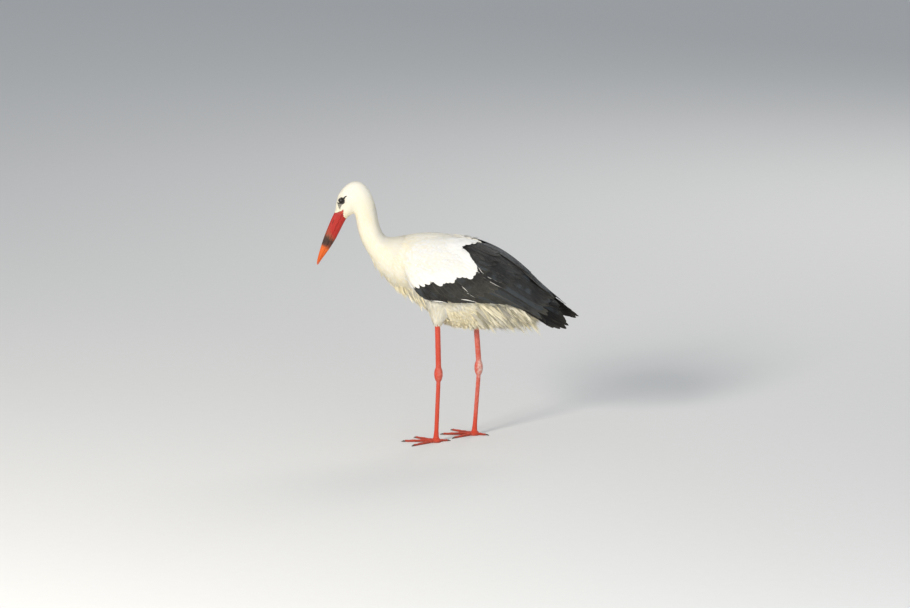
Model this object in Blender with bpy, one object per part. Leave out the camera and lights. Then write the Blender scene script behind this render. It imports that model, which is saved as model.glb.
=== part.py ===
"""A white stork as a life-size museum model, standing with its bill lowered.

The bird faces -X, its left side is towards -Y and it stands on z = 0, all in metres. Head, neck and
trunk are one smooth loft that is cut into lengths. The folded wings are lofts draped over it. Legs,
toes and claws are tubes of changing width. The origin is the middle of the model on the floor.
"""

from math import cos, pi, radians, sin

import bmesh
import bpy
from mathutils import Matrix, Vector

# Fit between neighbouring pieces
GAP = 0.0004
HALF_GAP = GAP / 2

# Smoothness of the solids
BODY_SIDES = 22
BODY_STEPS = 2
WING_SIDES = 20
WING_STEPS = 2
LIMB_SIDES = 12
TOE_SIDES = 8

# Body sections from the bill's root to the tail's root: back edge (x, z), throat or belly edge (x, z),
# half width, and how far the widest level sits above the middle as a share of the half depth.
BODY_SECTIONS = (
    ((-0.353, 0.723), (-0.317, 0.703), 0.0135, 0.00),    # root of the bill
    ((-0.346, 0.770), (-0.303, 0.711), 0.0235, 0.05),    # eyes
    ((-0.316, 0.806), (-0.296, 0.716), 0.0265, 0.05),    # forehead
    ((-0.287, 0.815), (-0.294, 0.716), 0.0275, 0.00),    # crown
    ((-0.260, 0.801), (-0.293, 0.710), 0.0275, 0.00),    # back of the head
    ((-0.240, 0.768), (-0.290, 0.694), 0.0265, 0.00),    # nape
    ((-0.227, 0.724), (-0.286, 0.670), 0.0275, 0.00),    # upper neck
    ((-0.218, 0.674), (-0.276, 0.634), 0.0300, 0.00),    # middle of the neck
    ((-0.196, 0.639), (-0.257, 0.596), 0.0390, 0.00),    # lower neck
    ((-0.152, 0.642), (-0.222, 0.540), 0.0560, 0.02),    # root of the neck
    ((-0.098, 0.652), (-0.175, 0.482), 0.0750, 0.06),    # breast
    ((-0.030, 0.652), (-0.110, 0.446), 0.0860, 0.08),    # shoulders
    ((0.042, 0.636), (-0.028, 0.367), 0.0880, 0.08),     # chest
    ((0.110, 0.603), (0.060, 0.351), 0.0820, 0.06),      # belly
    ((0.166, 0.560), (0.132, 0.364), 0.0680, 0.04),      # vent
    ((0.212, 0.519), (0.196, 0.362), 0.0510, 0.02),      # rump
    ((0.250, 0.480), (0.246, 0.353), 0.0350, 0.00),      # root of the tail
    ((0.272, 0.457), (0.264, 0.380), 0.0240, 0.00),      # tail coverts
)
# Planes that part the body: a point (x, z) on each and the direction (x, z) towards the tail
HEAD_CUT = ((-0.262, 0.722), (0.60, -0.80))
NECK_CUT = ((-0.247, 0.654), (0.45, -0.89))
BREAST_CUT = ((-0.187, 0.592), (0.82, -0.57))
TAIL_SECTIONS = (
    ((0.2725, 0.4565), (0.2645, 0.3795), 0.0240, 0.0),
    ((0.290, 0.436), (0.284, 0.388), 0.0285, 0.0),
    ((0.308, 0.417), (0.304, 0.393), 0.0320, 0.0),
    ((0.322, 0.404), (0.321, 0.397), 0.0320, 0.0),
)

# Bill sections from root to tip: ridge (x, z), lower edge (x, z), half width
BILL_SECTIONS = (
    ((-0.3535, 0.7225), (-0.3175, 0.7025), 0.0125, 0.0),
    ((-0.366, 0.698), (-0.330, 0.680), 0.0112, 0.0),
    ((-0.387, 0.647), (-0.352, 0.636), 0.0090, 0.0),
    ((-0.402, 0.601), (-0.376, 0.598), 0.0066, 0.0),
    ((-0.4105, 0.570), (-0.398, 0.568), 0.0042, 0.0),
    ((-0.4125, 0.553), (-0.4085, 0.552), 0.0016, 0.0),
)
GAPE_START = (-0.334, 0.708)
GAPE_END = (-0.411, 0.552)

EYE_CENTRE = (-0.335, 0.0180, 0.758)
EYE_RADIUS = 0.0075

# Wing sections behind the bend: upper edge (x, y, z), lower edge (x, y, z), outermost y, thickness
WING_SECTIONS = (
    ((-0.152, 0.052, 0.604), (-0.146, 0.064, 0.556), 0.068, 0.030),   # bend of the wing
    ((-0.127, 0.045, 0.628), (-0.123, 0.080, 0.505), 0.090, 0.060),
    ((-0.078, 0.038, 0.642), (-0.080, 0.088, 0.464), 0.103, 0.080),
    ((0.000, 0.028, 0.645), (-0.010, 0.089, 0.450), 0.108, 0.088),
    ((0.080, 0.019, 0.634), (0.076, 0.084, 0.449), 0.104, 0.085),
    ((0.150, 0.009, 0.604), (0.145, 0.073, 0.440), 0.092, 0.068),
    ((0.215, 0.003, 0.556), (0.205, 0.061, 0.428), 0.075, 0.046),
    ((0.268, 0.002, 0.505), (0.252, 0.051, 0.401), 0.058, 0.025),
)
# The wing tips differ: the right wing is carried further back and its tip higher
WING_TIPS = {
    "left": (
        ((0.310, 0.002, 0.470), (0.292, 0.043, 0.372), 0.044, 0.013),
        ((0.345, 0.003, 0.425), (0.326, 0.035, 0.350), 0.034, 0.009),
        ((0.377, 0.010, 0.366), (0.371, 0.020, 0.347), 0.019, 0.005),
    ),
    "right": (
        ((0.318, 0.002, 0.461), (0.300, 0.041, 0.378), 0.043, 0.013),
        ((0.366, 0.004, 0.420), (0.352, 0.028, 0.383), 0.030, 0.009),
        ((0.412, 0.009, 0.384), (0.404, 0.017, 0.374), 0.017, 0.005),
    ),
}
# Planes that part each wing: a point (x, z) and the direction (x, z) towards the rear or upwards
COVERT_CUT = ((0.080, 0.560), (1.0, 0.10))
SECONDARY_CUT = ((-0.112, 0.494), (-0.085, 1.0))
REAR_CUT = ((0.226, 0.460), (0.75, -0.66))

# Legs: the side in y, hip, hem of the feathers and ankle (x, z), and the foot's x
LEGS = {
    "left": {"side": -1, "hip": (-0.030, 0.452), "hem": (-0.039, 0.366), "ankle": (-0.036, 0.216),
             "foot": -0.0435},
    "right": {"side": 1, "hip": (0.052, 0.440), "hem": (0.080, 0.345), "ankle": (0.089, 0.216),
              "foot": 0.0760},
}
LEG_SPREAD = 0.047
THIGH_TOP = (0.040, 0.026)
THIGH_HEM = (0.0115, 0.0108)
SHANK = (0.0084, 0.0076)
ANKLE = (0.0134, 0.0118)
ANKLE_HALF = 0.022
TARSUS = (0.0066, 0.0060)
TARSUS_FLARE = (0.0088, 0.0082)
PALM_RADIUS = 0.0165
PALM_HEIGHT = 0.0130

# Toes: heading away from straight ahead in degrees, length, half thickness at root and tip, joints
TOES = {
    "inner": (38.0, 0.062, 0.0047, 0.0034, 2),
    "middle": (0.0, 0.080, 0.0050, 0.0035, 3),
    "outer": (-39.0, 0.070, 0.0047, 0.0034, 3),
    "hind": (164.0, 0.020, 0.0043, 0.0033, 1),
}
CLAW_LENGTH = 0.011
CLAW_TIP = 0.0012

COLOURS = {
    "white feather": (0.86, 0.83, 0.74, 0.75, 0.0),
    "black feather": (0.022, 0.021, 0.022, 0.45, 0.0),
    "bill": (0.60, 0.07, 0.03, 0.40, 0.0),
    "leg skin": (0.62, 0.10, 0.05, 0.50, 0.0),
    "claw": (0.10, 0.05, 0.04, 0.45, 0.0),
    "eye": (0.02, 0.012, 0.010, 0.08, 0.0),
}


# Scene and materials

def clear_scene():
    for item in list(bpy.data.objects):
        bpy.data.objects.remove(item, do_unlink=True)


def new_collection(name):
    collection = bpy.data.collections.new(name)
    bpy.context.scene.collection.children.link(collection)
    return collection


def new_material(name):
    red, green, blue, roughness, metallic = COLOURS[name]
    material = bpy.data.materials.new(name)
    material.use_nodes = True
    shader = material.node_tree.nodes["Principled BSDF"]
    shader.inputs["Base Color"].default_value = (red, green, blue, 1.0)
    shader.inputs["Roughness"].default_value = roughness
    shader.inputs["Metallic"].default_value = metallic
    material.diffuse_color = (red, green, blue, 1.0)
    return material


# Meshes

def add_object(name, bm, collection, colour=None):
    """Turn a closed bmesh into a named object with its own material and outward faces."""
    bmesh.ops.recalc_face_normals(bm, faces=bm.faces)
    if bm.calc_volume(signed=True) < 0.0:
        bmesh.ops.reverse_faces(bm, faces=bm.faces)
    mesh = bpy.data.meshes.new(name)
    bm.to_mesh(mesh)
    bm.free()
    item = bpy.data.objects.new(name, mesh)
    collection.objects.link(item)
    if colour:
        material = new_material(colour)
        material.name = name
        mesh.materials.append(material)
        mesh.shade_smooth()
        mesh.set_sharp_from_angle(angle=radians(40.0))
    return item


def loft(rings):
    """Join rings of equal count into one body with a flat cap at each end."""
    bm = bmesh.new()
    loops = [[bm.verts.new(point) for point in ring] for ring in rings]
    count = len(rings[0])
    for first, second in zip(loops, loops[1:]):
        for i in range(count):
            j = (i + 1) % count
            bm.faces.new((first[i], first[j], second[j], second[i]))
    bm.faces.new(loops[0])
    bm.faces.new(loops[-1])
    return bm


def flat_values(section):
    """A section's nested numbers as one flat list."""
    values = []
    for entry in section:
        values.extend(entry if isinstance(entry, tuple) else (entry,))
    return values


def smooth_sections(sections, steps):
    """Sections with a smooth curve run through every value, each span in the given steps."""
    rows = [flat_values(section) for section in sections]
    last = len(rows) - 1
    result = []
    for span in range(last):
        before = rows[max(span - 1, 0)]
        start = rows[span]
        end = rows[span + 1]
        after = rows[min(span + 2, last)]
        for step in range(steps):
            t = step / steps
            blend = (-t + 2 * t**2 - t**3, 2 - 5 * t**2 + 3 * t**3, t + 4 * t**2 - 3 * t**3, t**3 - t**2)
            columns = zip(before, start, end, after)
            result.append([sum(k * v for k, v in zip(blend, column)) / 2 for column in columns])
    result.append(rows[-1])
    return result


def body_ring(values, sides, grow=0.0):
    """One upright oval section, set between its back edge and its belly edge."""
    back = Vector((values[0], 0.0, values[1]))
    belly = Vector((values[2], 0.0, values[3]))
    half_width = values[4] + grow
    widest = values[5]
    middle = (back + belly) / 2
    up = (back - belly) / 2
    up *= 1.0 + grow / up.length
    ring = []
    for i in range(sides):
        angle = 2 * pi * i / sides
        level = cos(angle) + widest * sin(angle)**2
        ring.append(middle + up * level + Vector((0.0, half_width * sin(angle), 0.0)))
    return ring


def body_loft(sections, steps, sides, grow=0.0):
    return loft([body_ring(values, sides, grow) for values in smooth_sections(sections, steps)])


def keep_beyond(bm, plane, sign, gap=HALF_GAP):
    """Cut a closed bmesh by a plane across the body and keep the side that the sign names."""
    (x, z), (dx, dz) = plane
    normal = Vector((dx, 0.0, dz)).normalized() * sign
    point = Vector((x, 0.0, z)) + normal * gap
    geometry = bm.verts[:] + bm.edges[:] + bm.faces[:]
    bmesh.ops.bisect_plane(bm, geom=geometry, dist=1e-7, plane_co=point, plane_no=normal, clear_inner=True)
    rim = [edge for edge in bm.edges if edge.is_boundary]
    bmesh.ops.edgeloop_fill(bm, edges=rim)
    return bm


def keep_largest(bm):
    """Drop every loose shell but the one with the most faces."""
    left = set(bm.faces)
    shells = []
    while left:
        shell = set()
        queue = [left.pop()]
        while queue:
            face = queue.pop()
            shell.add(face)
            near = {other for edge in face.edges for other in edge.link_faces if other in left}
            left -= near
            queue.extend(near)
        shells.append(shell)
    biggest = max(shells, key=len)
    extra = [face for shell in shells if shell is not biggest for face in shell]
    bmesh.ops.delete(bm, geom=extra, context="FACES")
    return bm


def carved(bm, cutters):
    """The bmesh with each cutter object's volume taken away."""
    scratch = bpy.data.collections.new("scratch")
    bpy.context.scene.collection.children.link(scratch)
    item = add_object("carving", bm, scratch)
    for cutter in cutters:
        modifier = item.modifiers.new("carve", "BOOLEAN")
        modifier.operation = "DIFFERENCE"
        modifier.object = cutter
    evaluated = item.evaluated_get(bpy.context.evaluated_depsgraph_get())
    result = bmesh.new()
    result.from_mesh(evaluated.to_mesh())
    evaluated.to_mesh_clear()
    bpy.data.objects.remove(item, do_unlink=True)
    bpy.data.collections.remove(scratch)
    return result


def add_cutter(name, bm, cutters):
    item = add_object(name, bm, cutters)
    item.display_type = "WIRE"
    item.hide_render = True
    return item


# Head, neck, trunk, tail and bill

def body_length(start, end):
    """The stretch of the body loft between two cutting planes; None leaves an end whole."""
    bm = body_loft(BODY_SECTIONS, BODY_STEPS, BODY_SIDES)
    if start:
        keep_beyond(bm, start, 1)
    if end:
        keep_beyond(bm, end, -1)
    return bm


def make_body(parts, eye_sockets):
    add_object("head", carved(body_length(None, HEAD_CUT), eye_sockets), parts, "white feather")
    add_object("neck_upper", body_length(HEAD_CUT, NECK_CUT), parts, "white feather")
    add_object("neck_lower", body_length(NECK_CUT, BREAST_CUT), parts, "white feather")
    add_object("trunk", body_length(BREAST_CUT, None), parts, "white feather")
    add_object("tail", body_loft(TAIL_SECTIONS, BODY_STEPS, BODY_SIDES), parts, "white feather")


def make_bill(parts):
    run = Vector((GAPE_END[0] - GAPE_START[0], GAPE_END[1] - GAPE_START[1]))
    gape = (GAPE_START, (run.y, -run.x))
    for name, sign in (("bill_upper", 1), ("bill_lower", -1)):
        bm = body_loft(BILL_SECTIONS, BODY_STEPS, LIMB_SIDES)
        keep_beyond(bm, gape, sign)
        add_object(name, bm, parts, "bill")


def eyeball(side, grow=0.0):
    bm = bmesh.new()
    bmesh.ops.create_uvsphere(bm, u_segments=12, v_segments=7, radius=EYE_RADIUS + grow)
    x, y, z = EYE_CENTRE
    bmesh.ops.transform(bm, matrix=Matrix.Rotation(pi / 2, 4, "X"), verts=bm.verts)
    bmesh.ops.translate(bm, vec=(x, side * y, z), verts=bm.verts)
    return bm


# Wings

def wing_ring(values, side):
    """One section of a folded wing: a thick shell that bulges outwards between its two edges."""
    upper = Vector(values[0:3])
    lower = Vector(values[3:6])
    widest, thickness = values[6:8]
    bulge = widest - (upper.y + lower.y) / 2
    half = WING_SIDES // 2
    ring = []
    for i in range(WING_SIDES):
        angle = pi * i / half
        point = upper.lerp(lower, (1 - cos(angle)) / 2)
        offset = bulge * sin(angle) if i <= half else (thickness - bulge) * sin(angle)
        ring.append(Vector((point.x, side * (point.y + offset), point.z)))
    return ring


def make_wing(name, side, cutters, parts):
    sections = smooth_sections(WING_SECTIONS + WING_TIPS[name], WING_STEPS)
    pieces = (
        ("coverts", ((COVERT_CUT, -1), (SECONDARY_CUT, 1)), "white feather"),
        ("secondaries", ((REAR_CUT, -1), (SECONDARY_CUT, -1)), "black feather"),
        ("tertials", ((COVERT_CUT, 1), (SECONDARY_CUT, 1), (REAR_CUT, -1)), "black feather"),
        ("primaries", ((REAR_CUT, 1),), "black feather"),
    )
    for piece, planes, colour in pieces:
        bm = carved(loft([wing_ring(values, side) for values in sections]), cutters)
        for plane, sign in planes:
            keep_beyond(bm, plane, sign)
        add_object(f"wing_{name}_{piece}", keep_largest(bm), parts, colour)


# Legs and feet

def level_ring(x, y, z, radii, sides):
    """A level oval ring."""
    ring = []
    for i in range(sides):
        angle = 2 * pi * i / sides
        ring.append(Vector((x + radii[0] * cos(angle), y + radii[1] * sin(angle), z)))
    return ring


def mix(first, second, share):
    return tuple(a + (b - a) * share for a, b in zip(first, second))


def limb(start, end, y, radius, sides, count):
    """A stretch of leg between two (x, z) points; radius(share) gives its half widths in x and y."""
    rings = []
    for i in range(count + 1):
        share = i / count
        x, z = mix(start, end, share)
        rings.append(level_ring(x, y, z, radius(share), sides))
    return loft(rings)


def thigh_radius(share):
    """The feathered thigh narrows slowly, then quickly, to its hem."""
    return mix(THIGH_HEM, THIGH_TOP, 1 - share**1.6)


def ankle_radius(share):
    return mix(SHANK, ANKLE, sin(pi * share)**0.8)


def tarsus_radius(share):
    """The slender foot bone flares where the toes join it."""
    return mix(TARSUS, TARSUS_FLARE, max(share * 6 - 5, 0.0)**2)


def make_leg(name, plan, body_cutter, parts):
    side = plan["side"]
    y = side * LEG_SPREAD
    hem, ankle = plan["hem"], plan["ankle"]
    thigh = limb(plan["hip"], hem, y, thigh_radius, LIMB_SIDES + 4, 9)
    add_object(f"thigh_{name}", keep_largest(carved(thigh, (body_cutter,))), parts, "white feather")
    top = (hem[0], hem[1] - GAP)
    knee = (ankle[0], ankle[1] + ANKLE_HALF)
    heel = (ankle[0], ankle[1] - ANKLE_HALF)
    shank = limb(top, (knee[0], knee[1] + GAP), y, lambda share: SHANK, LIMB_SIDES, 1)
    add_object(f"shank_{name}", shank, parts, "leg skin")
    add_object(f"ankle_{name}", limb(knee, heel, y, ankle_radius, LIMB_SIDES, 6), parts, "leg skin")
    sole = (plan["foot"], PALM_HEIGHT + GAP)
    tarsus = limb((heel[0], heel[1] - GAP), sole, y, tarsus_radius, LIMB_SIDES, 8)
    add_object(f"tarsus_{name}", tarsus, parts, "leg skin")
    make_foot(name, Vector((plan["foot"], y, 0.0)), side, parts)


def make_foot(name, ball, side, parts):
    rings = []
    for i in range(6):
        level = PALM_HEIGHT * i / 5
        radius = PALM_RADIUS * (1 - 0.45 * (i / 5)**2)
        rings.append(level_ring(ball.x, ball.y, level, (radius, radius), 2 * LIMB_SIDES))
    add_object(f"foot_{name}", loft(rings), parts, "leg skin")
    for toe, (heading, length, root, tip, joints) in TOES.items():
        turn = radians(heading) * side
        ahead = Vector((-cos(turn), -sin(turn), 0.0))
        start = ball + ahead * (PALM_RADIUS + GAP)
        end = start + ahead * length
        toe_piece = toe_loft(start, end, (root, tip), joints, 3 * joints + 2)
        add_object(f"toe_{name}_{toe}", toe_piece, parts, "leg skin")
        claw_start = end + ahead * GAP
        claw = toe_loft(claw_start, claw_start + ahead * CLAW_LENGTH, (tip * 0.8, CLAW_TIP), 0, 2)
        add_object(f"claw_{name}_{toe}", claw, parts, "claw")


def toe_loft(start, end, radii, joints, count):
    """A toe or claw lying on the floor, flat beneath, swelling at each joint."""
    across = Vector((0.0, 0.0, 1.0)).cross(end - start).normalized()
    rings = []
    for i in range(count + 1):
        share = i / count
        radius = radii[0] + (radii[1] - radii[0]) * share
        radius *= 1.0 + 0.08 * cos(2 * pi * joints * share) * min(joints, 1)
        middle = start.lerp(end, share)
        ring = []
        for k in range(TOE_SIDES):
            angle = 2 * pi * (k + 0.5) / TOE_SIDES
            height = max(radius * (0.80 + sin(angle)), 0.0)
            ring.append(middle + across * radius * cos(angle) + Vector((0.0, 0.0, height)))
        rings.append(ring)
    return loft(rings)


# The whole bird

def centre_on_floor(parts):
    """Move every piece so that the origin is the middle of the model's box, on the floor."""
    points = [vertex.co for item in parts.objects for vertex in item.data.vertices]
    lowest = [min(point[axis] for point in points) for axis in range(3)]
    highest = [max(point[axis] for point in points) for axis in range(3)]
    shift = Vector((-(lowest[0] + highest[0]) / 2, -(lowest[1] + highest[1]) / 2, -lowest[2]))
    for item in parts.objects:
        item.data.transform(Matrix.Translation(shift))


def main():
    clear_scene()
    parts = new_collection("white_stork")
    cutters = new_collection("cutters")
    sides = {"left": -1, "right": 1}
    sockets = [add_cutter(f"socket_{name}", eyeball(side, GAP), cutters) for name, side in sides.items()]
    body_cutter = add_cutter("body_clearance", body_loft(BODY_SECTIONS, BODY_STEPS, BODY_SIDES, GAP), cutters)
    tail_cutter = add_cutter("tail_clearance", body_loft(TAIL_SECTIONS, BODY_STEPS, BODY_SIDES, GAP), cutters)
    make_body(parts, sockets)
    make_bill(parts)
    for name, side in sides.items():
        add_object(f"eye_{name}", eyeball(side), parts, "eye")
        make_wing(name, side, (body_cutter, tail_cutter), parts)
    for name, plan in LEGS.items():
        make_leg(name, plan, body_cutter, parts)
    centre_on_floor(parts)


main()
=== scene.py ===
"""White stork, a life-size still model: skin, feathers, bill, eyes, legs and claws over the fixed frame."""
import math

import bmesh
import bpy
import numpy as np
from bpy.props import FloatProperty, FloatVectorProperty, IntProperty, PointerProperty
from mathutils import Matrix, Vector
from mathutils.bvhtree import BVHTree
from mathutils.kdtree import KDTree


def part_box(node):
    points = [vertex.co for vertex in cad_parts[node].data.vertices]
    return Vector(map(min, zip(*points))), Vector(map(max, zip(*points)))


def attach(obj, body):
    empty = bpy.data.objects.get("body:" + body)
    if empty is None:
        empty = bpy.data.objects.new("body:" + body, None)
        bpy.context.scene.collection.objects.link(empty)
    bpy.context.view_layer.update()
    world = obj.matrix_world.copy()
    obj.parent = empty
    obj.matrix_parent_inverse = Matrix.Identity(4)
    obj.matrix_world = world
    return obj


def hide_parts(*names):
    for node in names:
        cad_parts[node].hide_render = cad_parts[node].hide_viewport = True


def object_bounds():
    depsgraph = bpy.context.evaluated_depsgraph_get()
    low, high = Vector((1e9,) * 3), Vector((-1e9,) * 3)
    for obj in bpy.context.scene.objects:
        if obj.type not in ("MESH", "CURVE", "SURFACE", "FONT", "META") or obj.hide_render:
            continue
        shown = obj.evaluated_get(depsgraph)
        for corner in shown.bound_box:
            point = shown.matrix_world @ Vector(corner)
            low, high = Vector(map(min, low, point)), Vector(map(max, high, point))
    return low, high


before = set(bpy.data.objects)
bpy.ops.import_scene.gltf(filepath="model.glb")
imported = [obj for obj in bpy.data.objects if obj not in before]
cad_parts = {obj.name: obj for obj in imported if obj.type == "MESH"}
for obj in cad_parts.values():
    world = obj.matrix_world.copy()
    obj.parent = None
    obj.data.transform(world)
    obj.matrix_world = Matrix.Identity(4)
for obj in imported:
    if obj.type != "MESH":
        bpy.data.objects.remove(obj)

bl_info = {
    "name": "White stork",
    "version": (1, 0, 0),
    "blender": (4, 5, 0),
    "location": "3D View > Sidebar > Stork",
    "description": "Skin, feathers, bill, eyes, legs and claws of a life-size standing white stork",
    "category": "Add Mesh",
}

FRAME_BOX = [list(map(float, corner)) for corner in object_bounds()]
SIDES = {"left": -1.0, "right": 1.0}
TOES = ("inner", "middle", "outer", "hind")
WING_PARTS = ("coverts", "secondaries", "tertials", "primaries")
LEG_PARTS = ("shank", "ankle", "tarsus", "foot")
FORM_NODES = (["head", "neck_upper", "neck_lower", "trunk", "tail"] + ["thigh_%s" % side for side in SIDES]
              + ["wing_%s_%s" % (side, part) for side in SIDES for part in WING_PARTS[:3]]
              + ["wing_%s_primaries" % side for side in SIDES])
SWELL = 0.0003        # how far copies of the solids swell, so that neighbours overlap
CHEEK = 0.006         # nearer to the middle of the head than this, no skin is part of an eye's mask
FAR_OUT = 9.0         # a reach that is well outside the mask
TRIANGLE_LIMIT = 200000
work = {}


# ---------------------------------------------------------------- sizes and colours

def millimetres(name, description, value):
    """A length property whose default is given in millimetres."""
    return FloatProperty(name=name, description=description, default=value * 0.001, min=0.0,
                         subtype="DISTANCE", unit="LENGTH")


def number(name, description, value, low, high):
    """A count property."""
    return IntProperty(name=name, description=description, default=value, min=low, max=high)


def colour(name, description, value):
    """A colour property."""
    return FloatVectorProperty(name=name, description=description, default=value, size=3, min=0.0, max=1.0,
                               subtype="COLOR")


class StorkSizes(bpy.types.PropertyGroup):
    """Lengths and counts of the stork's plumage and skin"""
    head_feather: millimetres("Head feather", "Length of the short feathers of the head", 8.5)
    neck_feather: millimetres("Neck feather", "Length of the narrow feathers of the neck", 17.0)
    ruff_feather: millimetres("Ruff feather", "Length of the long pointed feathers that hang from the breast", 62.0)
    back_feather: millimetres("Back feather", "Length of the rounded feathers of the back", 34.0)
    belly_feather: millimetres("Belly feather", "Length of the loose feathers of the belly and flanks", 46.0)
    thigh_feather: millimetres("Thigh feather", "Length of the feathers of the thighs", 28.0)
    vent_feather: millimetres("Undertail feather", "Length of the long loose feathers under the tail", 96.0)
    covert_feather: millimetres("Wing covert", "Length of the small white feathers of the wing", 24.0)
    leg_scale: millimetres("Leg scale", "Width of a scale of the legs", 2.0)
    primaries: number("Primaries", "Long feathers that show in each wing tip", 10, 4, 12)
    secondaries: number("Secondaries", "Flight feathers that show along each wing", 16, 6, 24)
    tertials: number("Tertials", "Broad inner feathers over each folded wing", 9, 3, 12)
    rectrices: number("Tail feathers", "White feathers of the tail", 12, 6, 12)


class StorkColours(bpy.types.PropertyGroup):
    """Colours of the stork and of the floor it stands on"""
    white: colour("White plumage", "The clean white of the wings and back", (0.82, 0.815, 0.79))
    cream: colour("Cream plumage", "The warm stain of the neck, breast and belly", (0.82, 0.722, 0.46))
    black: colour("Black plumage", "The black of the flight feathers", (0.0058, 0.0056, 0.0062))
    worn: colour("Worn black", "The brown of worn black feathers", (0.060, 0.056, 0.044))
    skin: colour("Skin", "Skin and down under the feathers", (0.80, 0.76, 0.67))
    mask: colour("Mask", "Bare black skin round the eye", (0.012, 0.010, 0.011))
    bill: colour("Bill", "The red of the bill", (0.38, 0.016, 0.009))
    bill_tip: colour("Bill tip", "The orange towards the tip of the bill", (0.62, 0.105, 0.009))
    bill_soil: colour("Soiled bill", "The dusky stain halfway down the bill", (0.036, 0.017, 0.011))
    leg: colour("Leg", "The red of the legs", (0.66, 0.046, 0.014))
    leg_wash: colour("Leg wash", "The chalky wash on the legs", (0.74, 0.55, 0.47))
    claw: colour("Claw", "The horn of the claws", (0.060, 0.035, 0.026))
    iris: colour("Iris", "The brown of the iris", (0.014, 0.008, 0.005))
    floor: colour("Floor", "The plain floor", (0.74, 0.735, 0.72))


def sizes():
    """The size settings of this scene."""
    return bpy.context.scene.stork_sizes


def paints():
    """The colour settings of this scene."""
    return bpy.context.scene.stork_colours


# ---------------------------------------------------------------- places on the frame

BOXES = {name: tuple(np.array(corner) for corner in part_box(name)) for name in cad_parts}
for box_name, side in (("wing", "left"), ("wing_right", "right")):
    corners = [BOXES["wing_%s_%s" % (side, part)] for part in WING_PARTS]
    BOXES[box_name] = (np.min([low for low, _ in corners], axis=0), np.max([high for _, high in corners], axis=0))


def across(name, share):
    """How far back (x) this share of a node's box is."""
    low, high = BOXES[name]
    return low[0] + share * (high[0] - low[0])


def level(name, share):
    """How high (z) this share of a node's box is."""
    low, high = BOXES[name]
    return low[2] + share * (high[2] - low[2])


def place(name, back, up):
    """The point (x, z) at these shares of a node's box, seen from the side."""
    return across(name, back), level(name, up)


def middle(name):
    """The middle of a node's box."""
    low, high = BOXES[name]
    return (low + high) * 0.5


def unit(rows):
    """Rows scaled to length 1."""
    return rows / np.maximum(np.linalg.norm(rows, axis=-1, keepdims=True), 1e-12)


def ease(values, start, end):
    """Rises smoothly from 0 at start to 1 at end."""
    share = np.clip((np.asarray(values) - start) / (end - start), 0.0, 1.0)
    return share * share * (3.0 - 2.0 * share)


def ease_back(points, name, start, end):
    """Rises smoothly from 0 to 1 between two shares of a node's length."""
    return ease(points[:, 0], across(name, start), across(name, end))


def ease_up(points, name, start, end):
    """Rises smoothly from 0 to 1 between two shares of a node's height."""
    return ease(points[:, 2], level(name, start), level(name, end))


def spread_over(values, count):
    """One value for each of count things, from one value or from as many."""
    return np.broadcast_to(values, (count,))


def smoothed(rows):
    """The inner points of lines, each pulled half way to the middle of its neighbours."""
    return (rows[:, :-2] + rows[:, 2:] + 2 * rows[:, 1:-1]) * 0.25


def along_curve(points, shares):
    """Points on a smooth curve through the given ones, at shares of its length."""
    pieces, points = 12, np.array(points, float)
    padded = np.vstack([2 * points[0] - points[1], points, 2 * points[-1] - points[-2]])
    fine = []
    for k in range(len(points) - 1):
        a, b, c, d = padded[k:k + 4]
        for t in np.linspace(0.0, 1.0, pieces, endpoint=k == len(points) - 2):
            square, cube = 2 * a - 5 * b + 4 * c - d, 3 * b - a - 3 * c + d
            fine.append(0.5 * (2 * b + (c - a) * t + square * t * t + cube * t ** 3))
    fine = np.array(fine)
    run = np.concatenate([[0.0], np.cumsum(np.linalg.norm(np.diff(fine, axis=0), axis=1))])
    return np.stack([np.interp(np.asarray(shares) * run[-1], run, fine[:, k]) for k in range(fine.shape[1])], axis=1)


# ---------------------------------------------------------------- meshes

def welded(names, swell=0.0):
    """A bmesh copy of CAD solids, welded, and swelled a little so that neighbours touch."""
    bm = bmesh.new()
    for name in names:
        bm.from_mesh(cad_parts[name].data)
    bmesh.ops.remove_doubles(bm, verts=bm.verts[:], dist=1e-6)
    bm.normal_update()
    moves = [v.normal * swell for v in bm.verts]
    for v, move in zip(bm.verts, moves):
        v.co += move
    return bm


def main_part(bm):
    """Deletes whatever in a bmesh does not hang together with its topmost vertex."""
    top = max(bm.verts, key=lambda v: v.co.z)
    reached, ends = {top}, [top]
    while ends:
        for edge in ends.pop().link_edges:
            fresh = [v for v in edge.verts if v not in reached]
            reached.update(fresh)
            ends.extend(fresh)
    bmesh.ops.delete(bm, geom=[v for v in bm.verts if v not in reached], context="VERTS")


def mesh_from(bm, name):
    """A mesh with what a bmesh holds; the bmesh is freed."""
    mesh = bpy.data.meshes.new(name)
    bm.to_mesh(mesh)
    bm.free()
    return mesh


def new_object(name, mesh):
    """Links a mesh to the scene as an object at the origin."""
    obj = bpy.data.objects.new(name, mesh)
    bpy.context.scene.collection.objects.link(obj)
    return obj


def baked(obj):
    """The object's mesh with its modifiers applied; the object itself is removed."""
    bpy.context.view_layer.update()
    mesh = bpy.data.meshes.new_from_object(obj.evaluated_get(bpy.context.evaluated_depsgraph_get()))
    bpy.data.objects.remove(obj)
    return mesh


def even_mesh(bm, name, voxel, passes):
    """One closed even mesh round everything in a bmesh, softened a few times."""
    obj = new_object(name, mesh_from(bm, name))
    remesh = obj.modifiers.new("Even mesh", "REMESH")
    remesh.mode, remesh.voxel_size, remesh.adaptivity = "VOXEL", voxel, 0.0
    soften = obj.modifiers.new("Soften", "SMOOTH")
    soften.factor, soften.iterations = 0.5, passes
    return baked(obj)


def subdivided(obj):
    """Rounds a small piece by one level of subdivision."""
    soften = obj.modifiers.new("Smooth", "SUBSURF")
    soften.levels = soften.render_levels = 1


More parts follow.
